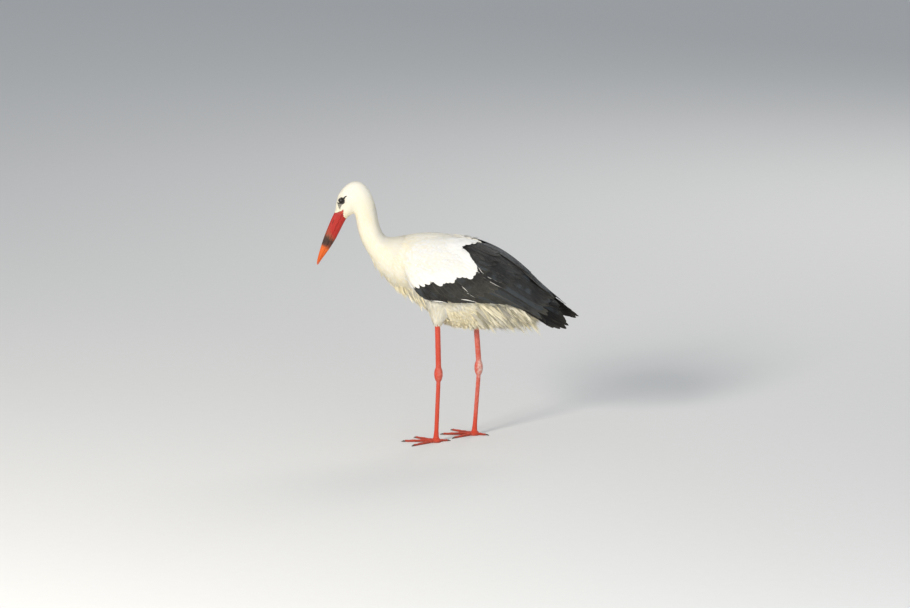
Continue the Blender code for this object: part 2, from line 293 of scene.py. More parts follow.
def smooth_shaded(mesh):
    """Gives a mesh smooth shading."""
    mesh.polygons.foreach_set("use_smooth", np.ones(len(mesh.polygons), bool))
    mesh.update()
    return mesh


def rows_of(items, name, width=3):
    """One property of mesh vertices, loops or normals as an array with a row for each."""
    values = np.empty(len(items) * width)
    items.foreach_get(name, values)
    return values.reshape(-1, width)


def coordinates(mesh):
    """A mesh's vertices as an array."""
    return rows_of(mesh.vertices, "co")


def set_value(mesh, name, values):
    """Writes one number for each vertex of a mesh."""
    layer = mesh.attributes.get(name) or mesh.attributes.new(name, "FLOAT", "POINT")
    layer.data.foreach_set("value", np.asarray(values, np.float32))


class Surface:
    """A closed mesh that feathers are laid over."""

    def __init__(self, mesh):
        self.mesh = mesh
        self.co, self.no = coordinates(mesh), rows_of(mesh.vertices, "normal")
        self.tree = KDTree(len(self.co))
        for k, point in enumerate(self.co):
            self.tree.insert(point, k)
        self.tree.balance()
        self.quads = np.array([list(p.vertices) + [p.vertices[0]] * (4 - len(p.vertices)) for p in mesh.polygons])
        self.area = rows_of(mesh.polygons, "area", 1)[:, 0]
        self.centre = self.co[self.quads].mean(axis=1)
        self.face_no = unit(self.no[self.quads].mean(axis=1))

    def nearest(self, points):
        """Index of the nearest vertex to each point."""
        find = self.tree.find
        return np.array([find(p)[1] for p in points])

    def near(self, points):
        """Each point dropped on to the surface, and the surface normal there."""
        index = self.nearest(points)
        normal = self.no[index]
        return points - normal * ((points - self.co[index]) * normal).sum(1, keepdims=True), normal

    def on(self, *words):
        """Which faces belong to nodes of the form whose names hold one of these words."""
        return np.isin(self.label, named(*words))

    def hit(self, x, y, z, toward):
        """Where a ray from a point towards the body meets the form, or None."""
        return self.outside.ray_cast(Vector((x, y, z)), Vector(toward))[0]


def named(*words):
    """The places in FORM_NODES of the nodes whose names hold one of these words."""
    return [k for k, name in enumerate(FORM_NODES) if any(word in name for word in words)]


def nearest_solids(points, names):
    """For each point, which of these CAD solids is nearest, as its place in names, and how far away it is."""
    corners, faces, owner = [], [], []
    for k, name in enumerate(names):
        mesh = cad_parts[name].data
        start = len(corners)
        corners.extend(v.co.copy() for v in mesh.vertices)
        faces.extend([start + v for v in p.vertices] for p in mesh.polygons)
        owner.extend([k] * len(mesh.polygons))
    tree = BVHTree.FromPolygons(corners, faces)
    found = [tree.find_nearest(p) for p in points]
    return np.array([owner[hit[2]] for hit in found]), np.array([hit[3] for hit in found])


# ---------------------------------------------------------------- the lie of the feathers

# Where on the body, seen from the side, and which way its feathers point there (back, up)
LIE = [
    ("head", 0.03, 0.30, 0.35, 0.94), ("head", 0.22, 0.80, 0.80, 0.60), ("head", 0.50, 1.00, 1.00, -0.05),
    ("head", 0.86, 0.80, 0.60, -0.80), ("head", 0.97, 0.35, 0.15, -0.99), ("head", 0.20, 0.30, 0.90, 0.05),
    ("head", 0.25, 0.10, 0.55, -0.83), ("head", 0.55, 0.55, 0.80, -0.60), ("head", 0.50, 0.15, 0.50, -0.86),
    ("neck_upper", 0.50, 0.50, 0.28, -0.96), ("neck_lower", 0.55, 0.90, 0.42, -0.90),
    ("neck_lower", 0.85, 0.85, 0.80, -0.60), ("neck_lower", 0.15, 0.30, 0.36, -0.93),
    ("neck_lower", 0.60, 0.40, 0.66, -0.75), ("trunk", 0.05, 0.60, 0.45, -0.89), ("trunk", 0.14, 0.36, 0.68, -0.73),
    ("trunk", 0.25, 1.00, 1.00, -0.02), ("trunk", 0.55, 0.96, 0.97, -0.22), ("trunk", 0.80, 0.72, 0.82, -0.57),
    ("trunk", 0.25, 0.75, 0.95, -0.30), ("trunk", 0.45, 0.30, 0.90, -0.42), ("trunk", 0.45, 0.02, 0.98, -0.18),
    ("trunk", 0.70, 0.05, 0.98, -0.18), ("trunk", 0.95, 0.15, 0.95, -0.30), ("tail", 0.50, 0.50, 0.75, -0.65),
    ("wing", 0.10, 0.70, 0.86, -0.50), ("wing", 0.30, 0.80, 0.92, -0.38), ("wing", 0.30, 0.50, 0.86, -0.50),
    ("wing", 0.60, 0.60, 0.82, -0.57), ("wing", 0.85, 0.30, 0.76, -0.65),
]


LIE_BLUR, LIE_FALL = 0.012, 1.6       # how wide each row of LIE reaches, and how sharply it falls off


def lie(points):
    """The way feathers point at each place, not yet laid flat on the surface."""
    total = np.zeros((len(points), 2))
    for name, back, up, heading, rise in LIE:
        x, z = place(name, back, up)
        away = (points[:, 0] - x) ** 2 + (points[:, 2] - z) ** 2
        weight = 1.0 / (away + LIE_BLUR ** 2) ** LIE_FALL
        total += weight[:, None] * np.array([[heading, rise]])
    total = unit(total)
    return np.stack([total[:, 0], np.zeros(len(points)), total[:, 1]], axis=1)


def sagging_lie(points):
    """The lie of loose feathers, which droop from it."""
    return unit(lie(points) + np.array([[0.0, 0.0, -0.35]]))


def hang(points):
    """Straight down, a little to the back."""
    return np.tile(unit(np.array([[0.10, 0.0, -1.0]])), (len(points), 1))


def laid(surface, points, lengths, steps, way, loose, swing, fall):
    """Lines that start at the points and follow the way over the surface, turned aside by swing. loose is how far
    their ends come free of it, and fall how much those droop."""
    point, normal = surface.near(points)
    swing, loose = spread_over(swing, len(points))[:, None], spread_over(loose, len(points))[:, None]
    path, normals, last = [point], [normal], None
    for k in range(steps):
        heading = way(point)
        heading = unit(heading - normal * (heading * normal).sum(1, keepdims=True))
        heading = heading * np.cos(swing) + np.cross(normal, heading) * np.sin(swing)
        free = loose * ease((k + 1.0) / steps, 0.25, 1.0)
        if last is not None:
            heading = unit(heading * (1 - free) + unit(last + np.array([0, 0, -fall]) / steps) * free)
        last = heading
        ahead = point + heading * lengths[:, None] / steps
        on, turned = surface.near(ahead)
        point = ahead * free + on * (1 - free)
        normal = unit(turned * (1 - free) + normal * free)
        path.append(point)
        normals.append(normal)
    path, normals = np.stack(path, 1), np.stack(normals, 1)
    path[:, 1:-1] = smoothed(path)
    return path, normals


def hung(surface, points, lengths, steps, aim, droop):
    """Lines that leave the surface at once and hang free along aim, drooping towards their ends."""
    point, normal = surface.near(points)
    s = np.linspace(0.0, 1.0, steps + 1)[None, :, None]
    path = point[:, None] + (aim[:, None] * s + np.array([0.0, 0.0, -1.0]) * droop * s ** 2) * lengths[:, None, None]
    aside = unit(normal * [0.3, 1.0, 0.3] + np.sign(point[:, 1:2]) * np.array([[0.0, 0.35, 0.0]]))
    return path, np.repeat(aside[:, None], steps + 1, axis=1)


def frames(path, normals):
    """Sideways and upward units along each line."""
    ahead = np.empty_like(path)
    ahead[:, 1:-1] = path[:, 2:] - path[:, :-2]
    ahead[:, 0], ahead[:, -1] = path[:, 1] - path[:, 0], path[:, -1] - path[:, -2]
    ahead = unit(ahead)
    upward = unit(normals - ahead * (normals * ahead).sum(2, keepdims=True))
    return np.cross(ahead, upward), upward


# ---------------------------------------------------------------- one feather, and many joined

def rounded(tip, root, narrow):
    """Outline of a feather with a round tip: its half width at each share of its length."""
    def half(s):
        end = np.clip((s - (1 - tip)) / tip, 0.0, 1.0)
        return (narrow + (1 - narrow) * ease(s, 0.0, root)) * math.sqrt(max(0.0, 1.0 - end ** 2.2))
    return half


def pointed(root, narrow, power):
    """Outline of a feather that narrows to a point."""
    def half(s):
        return (narrow + (1 - narrow) * ease(s, 0.0, root)) * (1.0 - max(0.0, (s - root) / (1 - root)) ** power)
    return half


def feather(columns, rows, outline, shaft=0.0, outer=1.0, frayed=0.0, hand=1, seed=0):
    """One closed feather, thick at its middle and thin at its edge, as arrays: place across and along, height,
    its own map, and its faces with the side that each is on. The vane on its outer side may be narrower."""
    chance = np.random.default_rng(seed)
    bm = bmesh.new()
    aside, along = bm.verts.layers.float.new("aside"), bm.verts.layers.float.new("along")
    steps = len(rows) - 1
    bmesh.ops.create_grid(bm, x_segments=columns, y_segments=steps, size=1.0)
    fray = {k: chance.uniform(0.0, 1.0) for k in range(columns + 1)}
    nicks = {(k, end): chance.uniform(0.0, 1.0) ** 3 for k in range(steps + 1) for end in (-1, 1)}
    for v in bm.verts:
        t, row = v.co.x, int(round((v.co.y + 1) * 0.5 * steps))
        s, column = rows[row], int(round((v.co.x + 1) * 0.5 * columns))
        v[aside], v[along] = t, s
        width = outline(s) * (outer if t > 0 else 1.0)
        if abs(t) > 0.99:
            width *= 1.0 - frayed * 0.6 * nicks[(row, 1 if t > 0 else -1)]
        pull = frayed * (0.28 * fray[column] if column % 2 == 0 and abs(t) > 0.01 else 0.05 * fray[column])
        v.co = Vector((t * width, s - pull * ease(s, 0.55, 1.0), 0.0))
    upper = bm.verts[:]
    twin = bmesh.ops.duplicate(bm, geom=bm.verts[:] + bm.edges[:] + bm.faces[:])["geom"]
    bmesh.ops.reverse_faces(bm, faces=[g for g in twin if isinstance(g, bmesh.types.BMFace)])
    for v in upper:
        ridge = shaft * (1.0 - 0.7 * v[along]) if abs(v[aside]) < 0.01 else 0.0
        v.co.z = 0.0 if v[along] in (0.0, 1.0) else (1.0 - v[aside] ** 2) + ridge
    for v in (g for g in twin if isinstance(g, bmesh.types.BMVert)):
        v.co.z = 0.0 if v[along] in (0.0, 1.0) else -0.5 * (1.0 - v[aside] ** 2)
    bmesh.ops.remove_doubles(bm, verts=bm.verts[:], dist=1e-5)
    if hand < 0:
        bmesh.ops.scale(bm, vec=(-1, 1, 1), verts=bm.verts[:])
        bmesh.ops.reverse_faces(bm, faces=bm.faces[:])
    bmesh.ops.dissolve_degenerate(bm, edges=bm.edges[:], dist=1e-6)
    bm.normal_update()
    bm.verts.index_update()
    x, s, up = np.array([v.co[:] for v in bm.verts]).T
    made = {
        "x": x, "s": s, "up": up, "vane": np.array([[0.5 + 0.5 * v[aside], v[along]] for v in bm.verts]),
        "corners": np.array([v.index for f in bm.faces for v in f.verts]),
        "sizes": np.array([len(f.verts) for f in bm.faces]),
        "above": np.array([1.0 if f.normal.z >= 0 else -1.0 for f in bm.faces for _ in f.verts]),
    }
    bm.free()
    if s.max() < 0.5:
        raise RuntimeError("a feather came out empty")
    return made


def tuft(wisps, spread, seed, body, fine):
    """One loose feather: a short vane that breaks up into free wisps, as the same arrays. spread is how far the
    wisps part, body how long the vane is and fine how wide a wisp is."""
    chance = np.random.default_rng(seed)
    vane = feather(2, (0.0, 0.35, 0.75, 1.0), pointed(root=0.3, narrow=0.5, power=2.0))
    parts = [(vane, 0.0, 0.0, 0.0, body, 0.55, 0.0)]
    for k in range(wisps):
        lean = ((k + 0.5) / wisps * 2 - 1) * spread + chance.uniform(-0.15, 0.15)
        thin = feather(2, (0.0, 0.4, 0.8, 1.0), pointed(root=0.2, narrow=0.5, power=1.6))
        parts.append((thin, lean * 0.30, lean, chance.uniform(0.0, 0.35), chance.uniform(0.82, 1.0) - 0.12 * abs(lean),
                      fine * chance.uniform(0.7, 1.3), chance.uniform(-1.0, 3.0)))
    made, start = {}, 0
    for shape, x0, x1, s0, s1, wide, lift in parts:
        t = shape["s"]
        rows = dict(shape, x=x0 + (x1 - x0) * t ** 1.4 + shape["x"] * wide, s=s0 + (s1 - s0) * t,
                    up=shape["up"] * 0.7 + lift * t, corners=shape["corners"] + start)
        start += len(t)
        for key, row in rows.items():
            made.setdefault(key, []).append(row)
    return {key: np.concatenate(rows) for key, rows in made.items()}


def tufts(wisps, spread, seed, body=0.55, fine=0.15):
    """Six variants of one loose feather."""
    return [tuft(wisps, spread, seed + k, body, fine) for k in range(6)]


def variants(count, *args, **values):
    """A few variants of one feather shape."""
    return [feather(*args, seed=k, **values) for k in range(count)]


MOST_DROP = 0.012      # the furthest that a vane sinks sideways to follow the surface
ROUNDNESS = 0.30       # how far a vane is shaded as if it were rounded
PATCH, MARGIN = 0.003, 0.02       # in the map of a coat: the size of one feather's patch, and the free rim


class Plumage:
    """Gathers feathers and joins them into one mesh. soft is how far they are shaded as one smooth coat."""

    def __init__(self, soft=0.8):
        self.soft, self.total, self.marks = soft, 0, {}
        self.rows = {key: [] for key in ("co", "corners", "sizes", "vane", "patch", "spot", "bend", "above")}

    def add(self, shape, path, normals, width, thick, low, high, camber, roll=0.0, spot=None, marks=None,
            surface=None, rise=1.0):
        """Lays copies of one feather shape along the lines. low and high are heights over the surface at root and
        tip; camber bends the edges down and roll tilts them; with a surface, the vane follows it sideways too."""
        count, steps = path.shape[0], path.shape[1] - 1
        side, upward = frames(path, normals)
        along = np.clip(shape["s"], 0.0, 1.0)
        first = np.minimum((along * steps).astype(int), steps - 1)
        part = (along * steps - first)[None, :, None]

        def at(rows):
            return rows[:, first] * (1 - part) + rows[:, first + 1] * part
        aside = (width[:, None] * 0.5) * shape["x"][None, :]
        centre, lateral, top = at(path), unit(at(side)), unit(at(upward))
        co = centre + lateral * aside[:, :, None]
        if surface is not None:
            on = surface.co[surface.nearest(co.reshape(-1, 3))].reshape(co.shape)
            drop = ((co - on) * top).sum(2)
            co = co - top * np.clip(drop, -MOST_DROP, MOST_DROP)[:, :, None]
        lift = low[:, None] + (high - low)[:, None] * along[None, :] ** rise
        lift = lift - camber * np.abs(aside) * np.abs(shape["x"])[None, :] + roll * aside + shape["up"][None, :] * thick
        co = co + top * lift[:, :, None]
        points = len(along)
        starts = self.total + np.arange(count) * points
        turned = unit(top + lateral * (shape["x"] * ROUNDNESS)[None, :, None])[:, shape["corners"]]
        local = np.stack([shape["x"] * 0.5, shape["s"] - 0.5], axis=1) * PATCH
        for key, rows in (
            ("co", co.reshape(-1, 3)), ("corners", (starts[:, None] + shape["corners"][None, :]).ravel()),
            ("sizes", np.tile(shape["sizes"], count)), ("above", np.tile(shape["above"], count)),
            ("bend", (turned * shape["above"][None, :, None]).reshape(-1, 3)),
            ("vane", np.tile(shape["vane"], (count, 1))), ("patch", np.tile(local, (count, 1))),
            ("spot", np.repeat(spot, points, axis=0)),
        ):
            self.rows[key].append(rows)
        for name, values in (marks or {}).items():
            self.marks.setdefault(name, []).append((self.total, np.repeat(spread_over(values, count), points)))
        self.total += count * points

    def joined(self, name, material, slot="white_feather"):
        """The finished object."""
        co, corners, loop_sizes, vane, patch, spot, bend, above = (np.concatenate(rows) for rows in self.rows.values())
        faces = int((loop_sizes - 2).sum())
        if faces >= TRIANGLE_LIMIT:
            raise RuntimeError("%s has %d triangles" % (name, faces))
        mesh = bpy.data.meshes.new(name)
        mesh.vertices.add(len(co))
        mesh.vertices.foreach_set("co", co.ravel())
        mesh.loops.add(len(corners))
        mesh.loops.foreach_set("vertex_index", corners.astype(np.int32))
        mesh.polygons.add(len(loop_sizes))
        starts = np.concatenate([[0], np.cumsum(loop_sizes)[:-1]])
        mesh.polygons.foreach_set("loop_start", starts.astype(np.int32))
        mesh.update(calc_edges=True)
        spot = (spot - spot.min(0)) / np.maximum(spot.max(0) - spot.min(0), 1e-6)
        for label, rows in (("OFBake", spot * (1 - 2 * MARGIN) + MARGIN + patch), ("Vane", vane)):
            mesh.uv_layers.new(name=label).data.foreach_set("uv", rows[corners].ravel())
        for label, runs in self.marks.items():
            values = np.zeros(len(co))
            for start, run in runs:
                values[start:start + len(run)] = run
            set_value(mesh, label, values)
        smooth_shaded(mesh)
        self.shade_as_coat(mesh, above, bend)
        mesh.materials.append(material)
        obj = new_object(name, mesh)
        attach(obj, "root")

    def shade_as_coat(self, mesh, above, bend):
        """Creases each feather's rim, and turns its shading normals towards the lie of the whole coat."""
        edge = np.empty(len(above), np.int32)
        mesh.loops.foreach_get("edge_index", edge)
        rim = np.zeros((2, len(mesh.edges)), bool)
        rim[0, edge[above > 0]], rim[1, edge[above < 0]] = True, True
        mesh.attributes.new("sharp_edge", "BOOLEAN", "EDGE").data.foreach_set("value", rim.all(axis=0))
        mesh.update()
        own = rows_of(mesh.corner_normals, "vector")
        bend = unit(bend * self.soft + own * (1 - self.soft))
        mesh.attributes.new("custom_normal", "FLOAT_VECTOR", "CORNER").data.foreach_set("vector", bend.ravel())


TRIES = 5              # roots tried for each that there is room for


def scattered(surface, chosen, spacing, seed):
    """Roots spread over the chosen faces, none nearer to another than the spacing there."""
    chance = np.random.default_rng(seed)
    faces = np.flatnonzero(chosen)
    gap = spread_over(spacing, len(surface.area))[faces]
    share = surface.area[faces] / gap ** 2
    tries = int(share.sum() * TRIES)
    pick = chance.choice(len(faces), tries, p=share / share.sum())
    a, b = chance.random((2, tries, 1))
    corner = surface.co[surface.quads[faces[pick]]]
    points = (corner[:, 0] * (1 - a) * (1 - b) + corner[:, 1] * a * (1 - b) + corner[:, 2] * a * b
              + corner[:, 3] * (1 - a) * b)
    cells = np.floor(points / float(gap.max())).astype(int)
    around = [(i, j, k) for i in (-1, 0, 1) for j in (-1, 0, 1) for k in (-1, 0, 1)]
    taken, kept = {}, []
    rows = zip(points.tolist(), cells.tolist(), (gap[pick] ** 2).tolist())
    for n, ((x, y, z), (kx, ky, kz), limit) in enumerate(rows):
        if not any((px - x) ** 2 + (py - y) ** 2 + (pz - z) ** 2 < limit
                   for i, j, k in around for px, py, pz in taken.get((kx + i, ky + j, kz + k), ())):
            taken.setdefault((kx, ky, kz), []).append((x, y, z))
            kept.append(n)
    return points[kept]


# The body's middle line from the bill to the tail, seen from the side, and its number of steps and rough length
BODY_LINE = [("head", 0.10, 0.45), ("head", 0.60, 0.55), ("neck_upper", 0.50, 0.50), ("neck_lower", 0.45, 0.50),
             ("trunk", 0.18, 0.62), ("trunk", 0.50, 0.50), ("trunk", 0.80, 0.42), ("tail", 0.50, 0.40),
             ("wing", 1.00, 0.10)]
LINE_STEPS, LINE_LENGTH = 80, 1.2


def unrolled(points):
    """The body's own unwrap: the angle round its middle line, and how far along it."""
    line = along_curve([place(*row) for row in BODY_LINE], np.linspace(0, 1, LINE_STEPS))
    away = (points[:, None, 0] - line[None, :, 0]) ** 2 + (points[:, None, 2] - line[None, :, 1]) ** 2
    index = away.argmin(1)
    ahead = unit(np.gradient(line, axis=0))[index]
    offset = points[:, [0, 2]] - line[index]
    along = index / (LINE_STEPS - 1) + (offset * ahead).sum(1) / LINE_LENGTH
    angle = np.arctan2(points[:, 1], offset[:, 1] * ahead[:, 0] - offset[:, 0] * ahead[:, 1])
    return np.stack([angle / math.tau + 0.5, along], axis=1)


# ---------------------------------------------------------------- shader groups and finishes

# Second colours that the main ones of the settings vary towards. Three of them stand in for light: a painted sheen on
# black feathers, a painted shade at feather roots, and a painted shade in the nostril.
TINTS = {
    "painted root shade and tone": (0.36, 0.31, 0.25), "painted_sheen": (0.040, 0.047, 0.052), "dusty streak": (0.085, 0.078, 0.060),
    "faded rim": (0.14, 0.12, 0.10), "bleached rim": (0.78, 0.75, 0.68), "down": (0.76, 0.70, 0.59),
    "gape": (0.50, 0.075, 0.035), "leg scale": (0.70, 0.11, 0.035), "leg crease": (0.20, 0.020, 0.012),
    "leg soil": (0.11, 0.045, 0.030), "bill streak": (0.46, 0.05, 0.014), "bill root": (0.30, 0.014, 0.010),
    "bill mud": (0.210, 0.090, 0.036), "nostril": (0.035, 0.012, 0.010), "worn claw": (0.20, 0.12, 0.085),
    "iris fleck": (0.026, 0.014, 0.008), "pupil": (0.002, 0.002, 0.002), "eye rim": (0.008, 0.006, 0.006),
    "floor": (0.6, 0.59, 0.57),
}
# White finishes: barbs along a vane, their slant, how deep they are, and how strong the painted root shade and the
# random tone are
WHITES = {"White plumage": (34.0, 5.0, 0.00025, 1.0), "White down feathers": (34.0, 5.0, 0.0002, 0.5),
          "White neck": (24.0, 3.0, 0.00012, 0.6), "White down": (14.0, 2.0, 0.00010, 0.6)}


def feed(tree, socket, value):
    """Links a value to a socket, or sets a number, vector or colour on it."""
    if isinstance(value, Value):
        tree.links.new(value.socket, socket)
    else:
        socket.default_value = (*value, 1.0) if socket.type == "RGBA" else value


class Value:
    """A value in a node tree. Sums, differences and products of values become Math nodes."""

    def __init__(self, tree, socket):
        self.tree, self.socket = tree, socket

    def maths(self, operation, *terms):
        """A Math node of these terms, each a value or a number."""
        node = self.tree.nodes.new("ShaderNodeMath")
        node.operation = operation
        for socket, term in zip(node.inputs, terms):
            feed(self.tree, socket, term)
        return Value(self.tree, node.outputs[0])

    def __add__(self, other):
        return self.maths("ADD", self, other)

    def __radd__(self, other):
        return self.maths("ADD", other, self)

    def __sub__(self, other):
        return self.maths("SUBTRACT", self, other)

    def __rsub__(self, other):
        return self.maths("SUBTRACT", other, self)

    def __mul__(self, other):
        return self.maths("MULTIPLY", self, other)

    def clamped(self):
        """The same value, held between 0 and 1."""
        self.socket.node.use_clamp = True
        return self

    def ranged(self, low, high, out_low=0.0, out_high=1.0):
        """A smooth Map Range of this value."""
        node = self.tree.nodes.new("ShaderNodeMapRange")
        node.interpolation_type = "SMOOTHSTEP"
        limits = {"Value": self, "From Min": low, "From Max": high, "To Min": out_low, "To Max": out_high}
        for label, value in limits.items():
            feed(self.tree, node.inputs[label], value)
        return Value(self.tree, node.outputs[0])


class Nodes:
    """A node tree being drawn up. end is the node that its results are fed to."""

    def __init__(self, tree, end):
        self.tree, self.end = tree, end

    def new(self, kind, out=0, settings=None, **inputs):
        """One output of a new node with these settings and inputs."""
        node = self.tree.nodes.new("ShaderNode" + kind)
        for label, value in (settings or {}).items():
            setattr(node, label, value)
        for label, value in inputs.items():
            feed(self.tree, node.inputs[label], value)
        return Value(self.tree, node.outputs[out])

    def mark(self, name):
        """The value written on the vertices under this name."""
        return self.new("Attribute", "Fac", {"attribute_name": name})

    def here(self):
        """Object coordinates."""
        return self.new("TexCoord", "Object")

    def noise(self, vector, scale, detail=3.0, roughness=0.5):
        """A noise value."""
        return self.new("TexNoise", "Fac", Vector=vector, Scale=scale, Detail=detail, Roughness=roughness)

    def mixed(self, factor, a, b):
        """One colour mixed with another."""
        node = self.tree.nodes.new("ShaderNodeMix")
        node.data_type, node.clamp_factor = "RGBA", True
        for socket, value in ((node.inputs[0], factor), (node.inputs[6], a), (node.inputs[7], b)):
            feed(self.tree, socket, value)
        return Value(self.tree, node.outputs[2])

    def effect(self, name, **values):
        """Places a shared effect with its own values, and gives its results by name."""
        node = self.tree.nodes.new("ShaderNodeGroup")
        node.node_tree = bpy.data.node_groups.get(name) or EFFECTS[name](name)
        for label, value in values.items():
            node.inputs[label].default_value = value
        return {socket.name: Value(self.tree, socket) for socket in node.outputs}

    def give(self, **values):
        """Feeds results to the end node."""
        for label, value in values.items():
            feed(self.tree, self.end.inputs[label.replace("_", " ")], value)

    def bumped(self, height, distance, strength):
        """Feeds a height to the shader's normal."""
        self.give(Normal=self.new("Bump", Height=height, Distance=distance, Strength=strength))


def group(name, inputs, outputs):
    """A new shader node group with these named values in and out."""
    tree = bpy.data.node_groups.new(name, "ShaderNodeTree")
    for label, default in inputs.items():
        tree.interface.new_socket(label, in_out="INPUT", socket_type="NodeSocketFloat").default_value = default
    for label in outputs:
        tree.interface.new_socket(label, in_out="OUTPUT", socket_type="NodeSocketFloat")
    start = tree.nodes.new("NodeGroupInput")
    return Nodes(tree, tree.nodes.new("NodeGroupOutput")), [Value(tree, start.outputs[label]) for label in inputs]


def barb_group(name):
    """Barbs of a vane: fine slanting lines either side of the shaft, with their height, a worn rim and a painted
    shade towards the root, where each feather lies under the ones above it."""
    nodes, (barbs, slant, clumps) = group(name, {"Barbs": 60.0, "Slant": 8.0, "Clumps": 0.5},
                                          ("Height", "Rim", "Root", "Streak", "Side"))
    vane = nodes.new("UVMap", settings={"uv_map": "Vane"})
    aside, along = nodes.new("SeparateXYZ", 0, Vector=vane), nodes.new("SeparateXYZ", 1, Vector=vane)
    off_shaft = aside * 2.0 - 1.0
    off_shaft = off_shaft.maths("ABSOLUTE", off_shaft)
    slanted = along * barbs - off_shaft * slant
    clump = nodes.noise(nodes.new("CombineXYZ", X=slanted, Y=aside * 1.5, Z=nodes.mark("tone")), 0.55, 3.0, 0.6)
    line = slanted.maths("SINE", slanted * math.tau)
    quill = off_shaft.ranged(0.0, 0.09, 0.9, 0.0)
    nodes.give(
        Height=line * 0.35 + clump * clumps + quill,
        Rim=along.maths("MAXIMUM", off_shaft.ranged(0.72, 1.0), along.ranged(0.86, 1.0)),
        Root=along.ranged(0.0, 0.55, 1.0, 0.0),
        Streak=clump,
        Side=aside.ranged(0.88, 0.96) * along.ranged(0.80, 0.95, 1.0, 0.0),
    )
    return nodes.tree


def soft_group(name):
    """Soft uneven colour: a broad and a fine variation over an object."""
    labels = {"Broad": 12.0, "Fine": 90.0}
    nodes, scales = group(name, labels, labels)
    where = nodes.here()
    nodes.give(**{label: nodes.noise(where, scale).ranged(0.32, 0.68) for label, scale in zip(labels, scales)})
    return nodes.tree


def scale_group(name):
    """Small rounded scales set close together: height, the groove between them, and a shade for each."""
    nodes, (size, groove) = group(name, {"Size": 380.0, "Groove": 0.12}, ("Height", "Groove", "Each"))
    bend = nodes.new("Mapping", Vector=nodes.here(), Scale=(1.0, 1.0, 0.72))
    each, edge = (nodes.new("TexVoronoi", out, {"feature": feature}, Vector=bend, Scale=size, Randomness=0.75)
                  for out, feature in (("Color", "F1"), ("Distance", "DISTANCE_TO_EDGE")))
    rise = edge.ranged(0.0, groove)
    nodes.give(Height=rise, Groove=1.0 - rise, Each=nodes.new("SeparateColor", Color=each))
    return nodes.tree


EFFECTS = {"Feather barbs": barb_group, "Soft variation": soft_group, "Small scales": scale_group}


def finish(name, paint, **numbers):
    """A material with a Principled shader, drawn up once; plain numbers are set on the shader's own sockets."""
    material = bpy.data.materials.get(name)
    if not material:
        material = bpy.data.materials.new(name)
        material.use_nodes = True
        tree = material.node_tree
        nodes = Nodes(tree, next(node for node in tree.nodes if node.type == "BSDF_PRINCIPLED"))
        nodes.give(**numbers)
        paint(nodes)
    return material


def white_plumage(name="White plumage"):
    """White feathers: cool white to warm cream, soft barbs, and a painted shade at each root, where the feather lies
    under the ones above it.
    """
    def paint(nodes):
        barbs, slant, depth, shading = WHITES[name]
        comb = nodes.effect("Feather barbs", Barbs=barbs, Slant=slant, Clumps=0.8)
        soft = nodes.effect("Soft variation", Broad=14.0, Fine=120.0)
        stain = (nodes.mark("cream") + (soft["Broad"] - 0.5) * 0.14).clamped()
        base = nodes.mixed(stain, paints().white, paints().cream)
        # painted shade towards each root, mixed with random tone and streaks
        shade = (comb["Root"] * 0.08 + nodes.mark("tone") * 0.05 + comb["Streak"] * 0.07) * shading
        base = nodes.mixed(shade, base, TINTS["painted root shade and tone"])
        # dark mixes towards the mask's black: the real black round the eye, and painted shade on the neck, breast and
        # under the tail
        nodes.give(Base_Color=nodes.mixed(nodes.mark("dark"), base, paints().mask))
        nodes.bumped(comb["Height"], distance=depth, strength=0.8)
    return finish(name, paint, Roughness=0.72, Sheen_Weight=0.12, Sheen_Roughness=0.6, Specular_IOR_Level=0.28)


def black_plumage(name="Black plumage", gloss_level=0.30):
    """Black flight feathers: brown-black with a painted bluish sheen in broad patches, glossier on fresh feathers,
    worn brown and here and there white along the rim."""
    def paint(nodes):
        comb = nodes.effect("Feather barbs", Barbs=80.0, Slant=12.0, Clumps=0.9)
        soft = nodes.effect("Soft variation", Broad=18.0, Fine=150.0)
        worn = nodes.mark("worn") + comb["Rim"] * 0.45
        worn = (worn * (0.45 + soft["Broad"] * 0.8)).clamped()
        base = nodes.mixed(worn, paints().black, paints().worn)
        # painted sheen: some feathers get a lighter bluish base colour in broad patches, standing in for their gloss
        painted_sheen = nodes.mark("tone").ranged(0.35, 1.0) * soft["Broad"].ranged(0.15, 0.75)
        base = nodes.mixed(painted_sheen, base, TINTS["painted_sheen"])
        streak = comb["Streak"].ranged(0.50, 0.66) * (0.12 + worn * 0.6)
        base = nodes.mixed(streak, base, TINTS["dusty streak"])
        base = nodes.mixed(comb["Side"] * 0.30, base, TINTS["faded rim"])
        base = nodes.mixed(comb["Side"] * nodes.mark("pale"), base, TINTS["bleached rim"])
        nodes.give(Base_Color=base, Roughness=0.36 + worn * 0.36)
        nodes.bumped(comb["Height"], distance=0.00040, strength=0.9)
    return finish(name, paint, Specular_IOR_Level=gloss_level)


def bare_skin():
    """Skin under the feathers, black round the eye and under black feathers, red at the gape."""
    def paint(nodes):
        soft = nodes.effect("Soft variation", Broad=30.0, Fine=400.0)
        base = nodes.mixed(soft["Broad"], paints().skin, TINTS["down"])
        base = nodes.mixed(nodes.mark("dark"), base, paints().mask)
        base = nodes.mixed(nodes.mark("gape"), base, nodes.mixed(soft["Fine"], paints().bill, TINTS["gape"]))
        nodes.give(Base_Color=base, Roughness=0.62 - nodes.mark("dark") * 0.12)
        nodes.bumped(soft["Fine"], distance=0.0004, strength=0.8)
    return finish("Skin", paint, Specular_IOR_Level=0.4)


